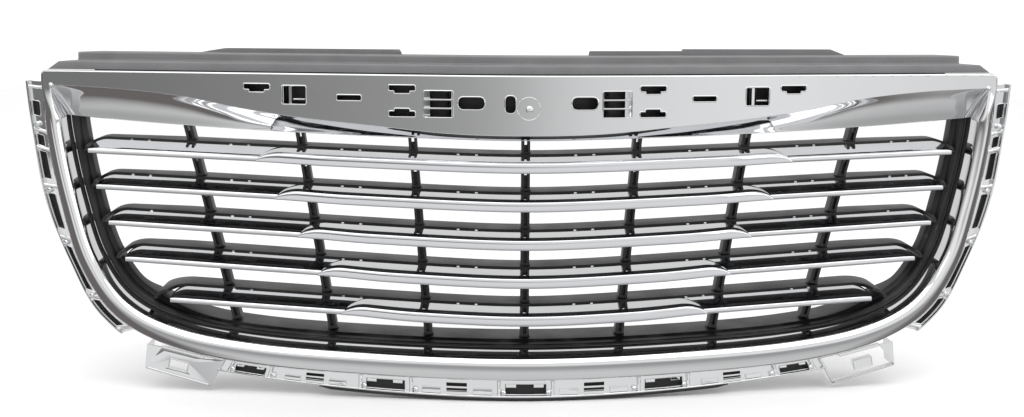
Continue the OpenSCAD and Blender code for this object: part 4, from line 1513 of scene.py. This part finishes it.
def ear_shape(s):
    outline = rounded(np.array(EAR)[::-1] * [s, 1], [2.5, 2, 0.6, 0.6], 4)
    slot = rectangle(s * 360, -158.5, 46, 2.6, 0.9, s * 12.5)
    hole = rectangle(s * 365, -173, 20, 10, 0.8, s * 12.5)
    plate = cut_sheet([outline, slot, hole], 2.8, 0.35)
    parts = [sheet_on_sweep(plate, 14), bent(collars([hole], collar_profile(0.9, 0.4, 8, 1.0), chrome), 14),
             bent(collars([slot], collar_profile(0.5, 0.25, 5, 0.5), chrome), 14)]
    for (ax, az), (bx, bz) in ((EAR[1], EAR[2]), (EAR[3], EAR[0])):
        a, b = np.array([s * ax, az]), np.array([s * bx, bz])
        length = np.linalg.norm(b - a)
        inward = np.array([s * 360, -172]) - (a + b) / 2
        inward /= np.linalg.norm(inward)
        middle = (a + b) / 2 + inward * 1.5
        turn = math.degrees(math.atan2(b[1] - a[1], b[0] - a[0]))
        parts.append(bent(block(*middle, length - 1.5, 2.4, 0.3, 28, 0.5, turn), 14))
    a, b = np.array([s * EAR[3][0], EAR[3][1]]), np.array([s * EAR[2][0], EAR[2][1]])
    middle = (a + b) / 2 + [0, 1.2]
    turn = math.degrees(math.atan2(b[1] - a[1], b[0] - a[0]))
    parts.append(bent(block(*middle, np.linalg.norm(b - a) - 4, 2.0, -1.2, 7, 0.8, turn), 14))
    return joined(*parts)


for s, side in ((-1, "left"), (1, "right")):
    ear = link(f"bracket_{side}", mesh_of("bracket", ear_shape(s), 24), chrome)
    settle(ear, "bright_chrome", f"fascia_ear_{side}")

# %% [markdown]
# ## Screws and seal
#
# Eleven self-tapping screws hold the insert and the close-out panel. One screw is turned
# from a profile, with a washer face, a hexagon recess and a threaded shank, and Geometry
# Nodes put it at every boss. The foam strip under the lower flange closes the design.

# %% Screws
def screw_shape(length):
    """A pan-head screw in metres that points along +Z, with its head below."""
    threads = []
    for z in np.arange(1.2, length - 2.0, 0.9):
        threads += [(1.55, z), (2.0, z + 0.35), (1.55, z + 0.7)]
    head = [(1.9, -1.1), (2.05, -2.4), (3.4, -2.6), (4.1, -2.2), (4.5, -1.2), (4.55, -0.7),
            (5.6, -0.6), (5.7, -0.1), (2.0, 0), (1.9, 0.6)]
    profile = head + threads + [(1.4, length - 1.4), (0.5, length - 0.1), (0.02, length)]
    steps = 18
    a = np.linspace(0, 2 * math.pi, steps, endpoint=False)
    rings = []
    for n, (r, z) in enumerate(profile):
        hexed = r * (1 - 0.06 * np.cos(6 * a)) if n < 2 else np.full(steps, r)
        rings.append(np.column_stack([hexed * np.cos(a), hexed * np.sin(a), np.full(steps, z)]))
    shape = loft(np.array(rings))
    return shape[0] * MM, shape[1]


insert_points = np.vstack([place(x, 33.9, z) for x, z in SCREW_PLACES])
insert_screws = repeated(screw_shape(20), insert_points, [(math.pi / 2, 0, 0)] * 5,
                         [(1, 1, 1)] * 5, screw_steel)
header_screws = link("header_screws", mesh_of("header_screws", insert_screws, 30), screw_steel)
settle(header_screws, "screw_steel", "insert_screws")
panel_points = np.vstack([place(x, 62, 138.8) for x in CLOSEOUT_SCREWS])
panel_screws = repeated(screw_shape(10), panel_points, [(0, 0, 0)] * 6, [(1, 1, 1)] * 6, screw_steel)
flange_screws = link("panel_screws", mesh_of("panel_screws", panel_screws, 30), screw_steel)
settle(flange_screws, "screw_steel", "closeout_screws")


# %% Seal
def seal_shape():
    x = np.linspace(-215, 215, 121)
    z = height_on(FLANGE, x) - 0.2
    fade = smooth((215 - np.abs(x)) / 14)
    rows = [(12, 0 * x), (26, 0 * x), (26, -0.6 - 2.0 * fade), (12, -0.6 - 2.0 * fade)]
    corners = np.stack([np.stack([d + 0 * x, z + h], -1) for d, h in rows], axis=1)
    section = rounded(corners, [0.3, 0.3, 1.0, 1.0], 3)
    return loft(place(x[:, None], section[:, :, 0], section[:, :, 1]))


settle(link("foam_seal", mesh_of("foam_seal", seal_shape(), 40), foam), "seal_foam", "lower_seal")

# %% [markdown]
# ## Floor, light and camera
#
# The stage is a plain pale floor and soft light. Plating shows nothing but its
# surroundings, and all-white surroundings leave it without form. So the world is white for
# the eye and the floor, and reflections alone see smooth grey ramps: darker on the left and
# at the horizon, lighter on the right, above and below. They don't see the floor.

# %% Floor
def disc(name, radius, centre, height, steps=96):
    a = np.linspace(0, 2 * math.pi, steps, endpoint=False)
    x, y = radius * np.cos(a) + centre[0], radius * np.sin(a) + centre[1]
    points = np.column_stack([x, y, np.full(steps, height)])
    mesh = bpy.data.meshes.new(name)
    mesh.from_pydata(points.tolist(), [], [list(range(steps))])
    return mesh


def floor_material():
    material, tree, shader = principled("pale floor", Roughness=0.85, Specular_IOR_Level=0.2)
    place_of = add(tree, "ShaderNodeTexCoord")
    tone = noise(tree, place_of.outputs["Object"], 6, 3)
    tree.links.new(blend_colours(tree, tone, (0.90, 0.90, 0.90), (0.94, 0.94, 0.94)),
                   shader.inputs["Base Color"])
    return material


floor_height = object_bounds()[0][2] - 0.0005
floor = link("floor", disc("floor", 3.2, (0, 2.2), floor_height), floor_material())
floor.visible_glossy = False
print("floor at", round(floor_height, 4), "m")


# %% Soft panels
def panel_light(name, size, power, at, towards, colour=(1, 1, 1), spread=180):
    """A rectangular soft light that looks at a point. It is not seen by the camera."""
    data = bpy.data.lights.new(name, "AREA")
    data.shape = "RECTANGLE"
    data.size, data.size_y = size
    data.energy = power
    data.color = colour
    data.spread = math.radians(spread)
    lamp = bpy.data.objects.new(name, data)
    bpy.context.scene.collection.objects.link(lamp)
    lamp.location = at
    lamp.rotation_euler = (Vector(towards) - Vector(at)).to_track_quat("-Z", "Y").to_euler()
    lamp.visible_camera = False
    return lamp


panel_light("overhead", (2.6, 1.5), 14, (0.1, -0.55, 1.35), (0, -0.1, -0.3))
panel_light("front right", (1.2, 1.0), 4, (2.1, -1.15, 0.5), (0.1, 0, -0.2))
panel_light("front left", (0.8, 0.5), 1.6, (-1.5, -1.6, 1.0), (0, 0, -0.2), (1.0, 0.97, 0.93))
print("soft panels:", len(bpy.data.lights))


# %% Studio world
def degrees_of(tree, operation, a, b=0.0):
    return math_node(tree, "MULTIPLY", math_node(tree, operation, a, b), 180 / math.pi)


def window_of(tree, value, low, high, soft):
    """1 while the value is between low and high, with soft edges."""
    rise = ranged(tree, value, low - soft, low + soft)
    fall = ranged(tree, value, high - soft, high + soft, 1, 0)
    return math_node(tree, "MULTIPLY", rise, fall)


def ramp(tree, value, stops):
    """A colour that changes with a value between 0 and 1."""
    node = add(tree, "ShaderNodeValToRGB")
    tree.links.new(value, node.inputs["Fac"])
    marks = node.color_ramp.elements
    for mark, (place_at, colour) in zip((marks[0], marks[-1]), (stops[0], stops[-1])):
        mark.position = place_at
        mark.color = (*colour, 1)
    for place_at, colour in stops[1:-1]:
        marks.new(place_at).color = (*colour, 1)
    return node.outputs["Color"]


def room_colours(tree, bearing, height):
    """The greys that reflections see, by bearing from straight ahead and by height, in degrees."""
    turn = ranged_linear(tree, bearing, -180, 180)
    stops = [(-180, (0.30, 0.30, 0.30)), (-60, (0.13, 0.13, 0.13)), (-30, (0.20, 0.20, 0.20)),
             (0, (0.48, 0.48, 0.48)), (30, (0.84, 0.84, 0.84)), (60, (0.50, 0.50, 0.50)),
             (180, (0.32, 0.32, 0.32))]
    room = ramp(tree, turn, [((a + 180) / 360, c) for a, c in stops])
    table = ramp(tree, ranged_linear(tree, height, -90, 0),
                 [(0.0, (0.50, 0.50, 0.50)), (0.30, (0.64, 0.64, 0.64)), (0.50, (0.40, 0.40, 0.40)),
                  (0.66, (0.34, 0.34, 0.35)), (0.82, (0.78, 0.78, 0.78)), (1.0, (0.88, 0.88, 0.88))])
    ahead = window_of(tree, bearing, -66, 85, 12)
    table = blend_colours(tree, ahead, (0.15, 0.14, 0.135), table)
    room = blend_colours(tree, ranged(tree, height, -6.3, -7.0), room, table)
    above = blend_colours(tree, ahead, (0.25, 0.25, 0.26), (0.90, 0.90, 0.88))
    room = blend_colours(tree, ranged(tree, height, 0.5, 9), room, above)
    behind = ranged(tree, math_node(tree, "ABSOLUTE", bearing, 0), 108, 128)
    room = blend_colours(tree, behind, room, (0.72, 0.72, 0.71))
    high = ramp(tree, ranged_linear(tree, height, 20, 80),
                [(0.0, (0, 0, 0)), (0.4, (0.75, 0.75, 0.75)), (1.0, (1, 1, 1))])
    return blend_colours(tree, high, room, (0.78, 0.79, 0.80))


def ranged_linear(tree, value, low, high):
    node = add(tree, "ShaderNodeMapRange")
    tree.links.new(value, node.inputs["Value"])
    node.inputs["From Min"].default_value = low
    node.inputs["From Max"].default_value = high
    return node.outputs["Result"]


def studio_world():
    """White for the eye, soft light for the floor, and grey ramps for the plating to show."""
    world = bpy.data.worlds.new("studio")
    bpy.context.scene.world = world
    world.use_nodes = True
    tree = world.node_tree
    tree.nodes.clear()
    out = add(tree, "ShaderNodeOutputWorld")
    place_of = add(tree, "ShaderNodeTexCoord")
    split = add(tree, "ShaderNodeSeparateXYZ")
    tree.links.new(place_of.outputs["Generated"], split.inputs[0])
    ahead = math_node(tree, "MULTIPLY", split.outputs["Y"], -1)
    bearing = degrees_of(tree, "ARCTAN2", split.outputs["X"], ahead)
    height = degrees_of(tree, "ARCSINE", split.outputs["Z"])
    kinds = add(tree, "ShaderNodeLightPath")
    layers = []
    shown = room_colours(tree, bearing, height)
    for colour, strength in ((shown, 1.0), ((1, 1, 1), 1.15), ((1, 1, 1), 1.14)):
        layer = add(tree, "ShaderNodeBackground")
        layer.inputs["Strength"].default_value = strength
        if isinstance(colour, tuple):
            layer.inputs["Color"].default_value = (*colour, 1)
        else:
            tree.links.new(colour, layer.inputs["Color"])
        layers.append(layer)
    room, seen, soft = layers
    by_ray = room
    for ray, layer in (("Is Diffuse Ray", soft), ("Is Camera Ray", seen)):
        pick = add(tree, "ShaderNodeMixShader")
        tree.links.new(kinds.outputs[ray], pick.inputs[0])
        tree.links.new(by_ray.outputs[0], pick.inputs[1])
        tree.links.new(layer.outputs[0], pick.inputs[2])
        by_ray = pick
    tree.links.new(by_ray.outputs[0], out.inputs[0])


studio_world()
bpy.context.scene.view_settings.view_transform = "Standard"
print("world:", bpy.context.scene.world.name)


# %% Camera
def aim_camera(aim, azimuth, elevation, distance, lens, roll):
    """A camera that looks at a point from an angle, in degrees and metres."""
    az, el, turn = math.radians(azimuth), math.radians(elevation), math.radians(roll)
    back = Vector((math.sin(az) * math.cos(el), -math.cos(az) * math.cos(el), math.sin(el)))
    right = Vector((math.cos(az), math.sin(az), 0))
    up = back.cross(right)
    tilted_right = right * math.cos(turn) + up * math.sin(turn)
    tilted_up = back.cross(tilted_right)
    data = bpy.data.cameras.new("camera")
    data.lens = lens
    camera = bpy.data.objects.new("camera", data)
    bpy.context.scene.collection.objects.link(camera)
    frame_axes = Matrix((tilted_right, tilted_up, back)).transposed().to_4x4()
    camera.matrix_world = Matrix.Translation(Vector(aim) + back * distance) @ frame_axes
    bpy.context.scene.camera = camera
    return camera


camera = aim_camera((-0.0137, -0.004, -0.159), -2.25, 8.7, 1.5, 50.38, 0.37)
print("camera at", [round(v, 3) for v in camera.matrix_world.translation])
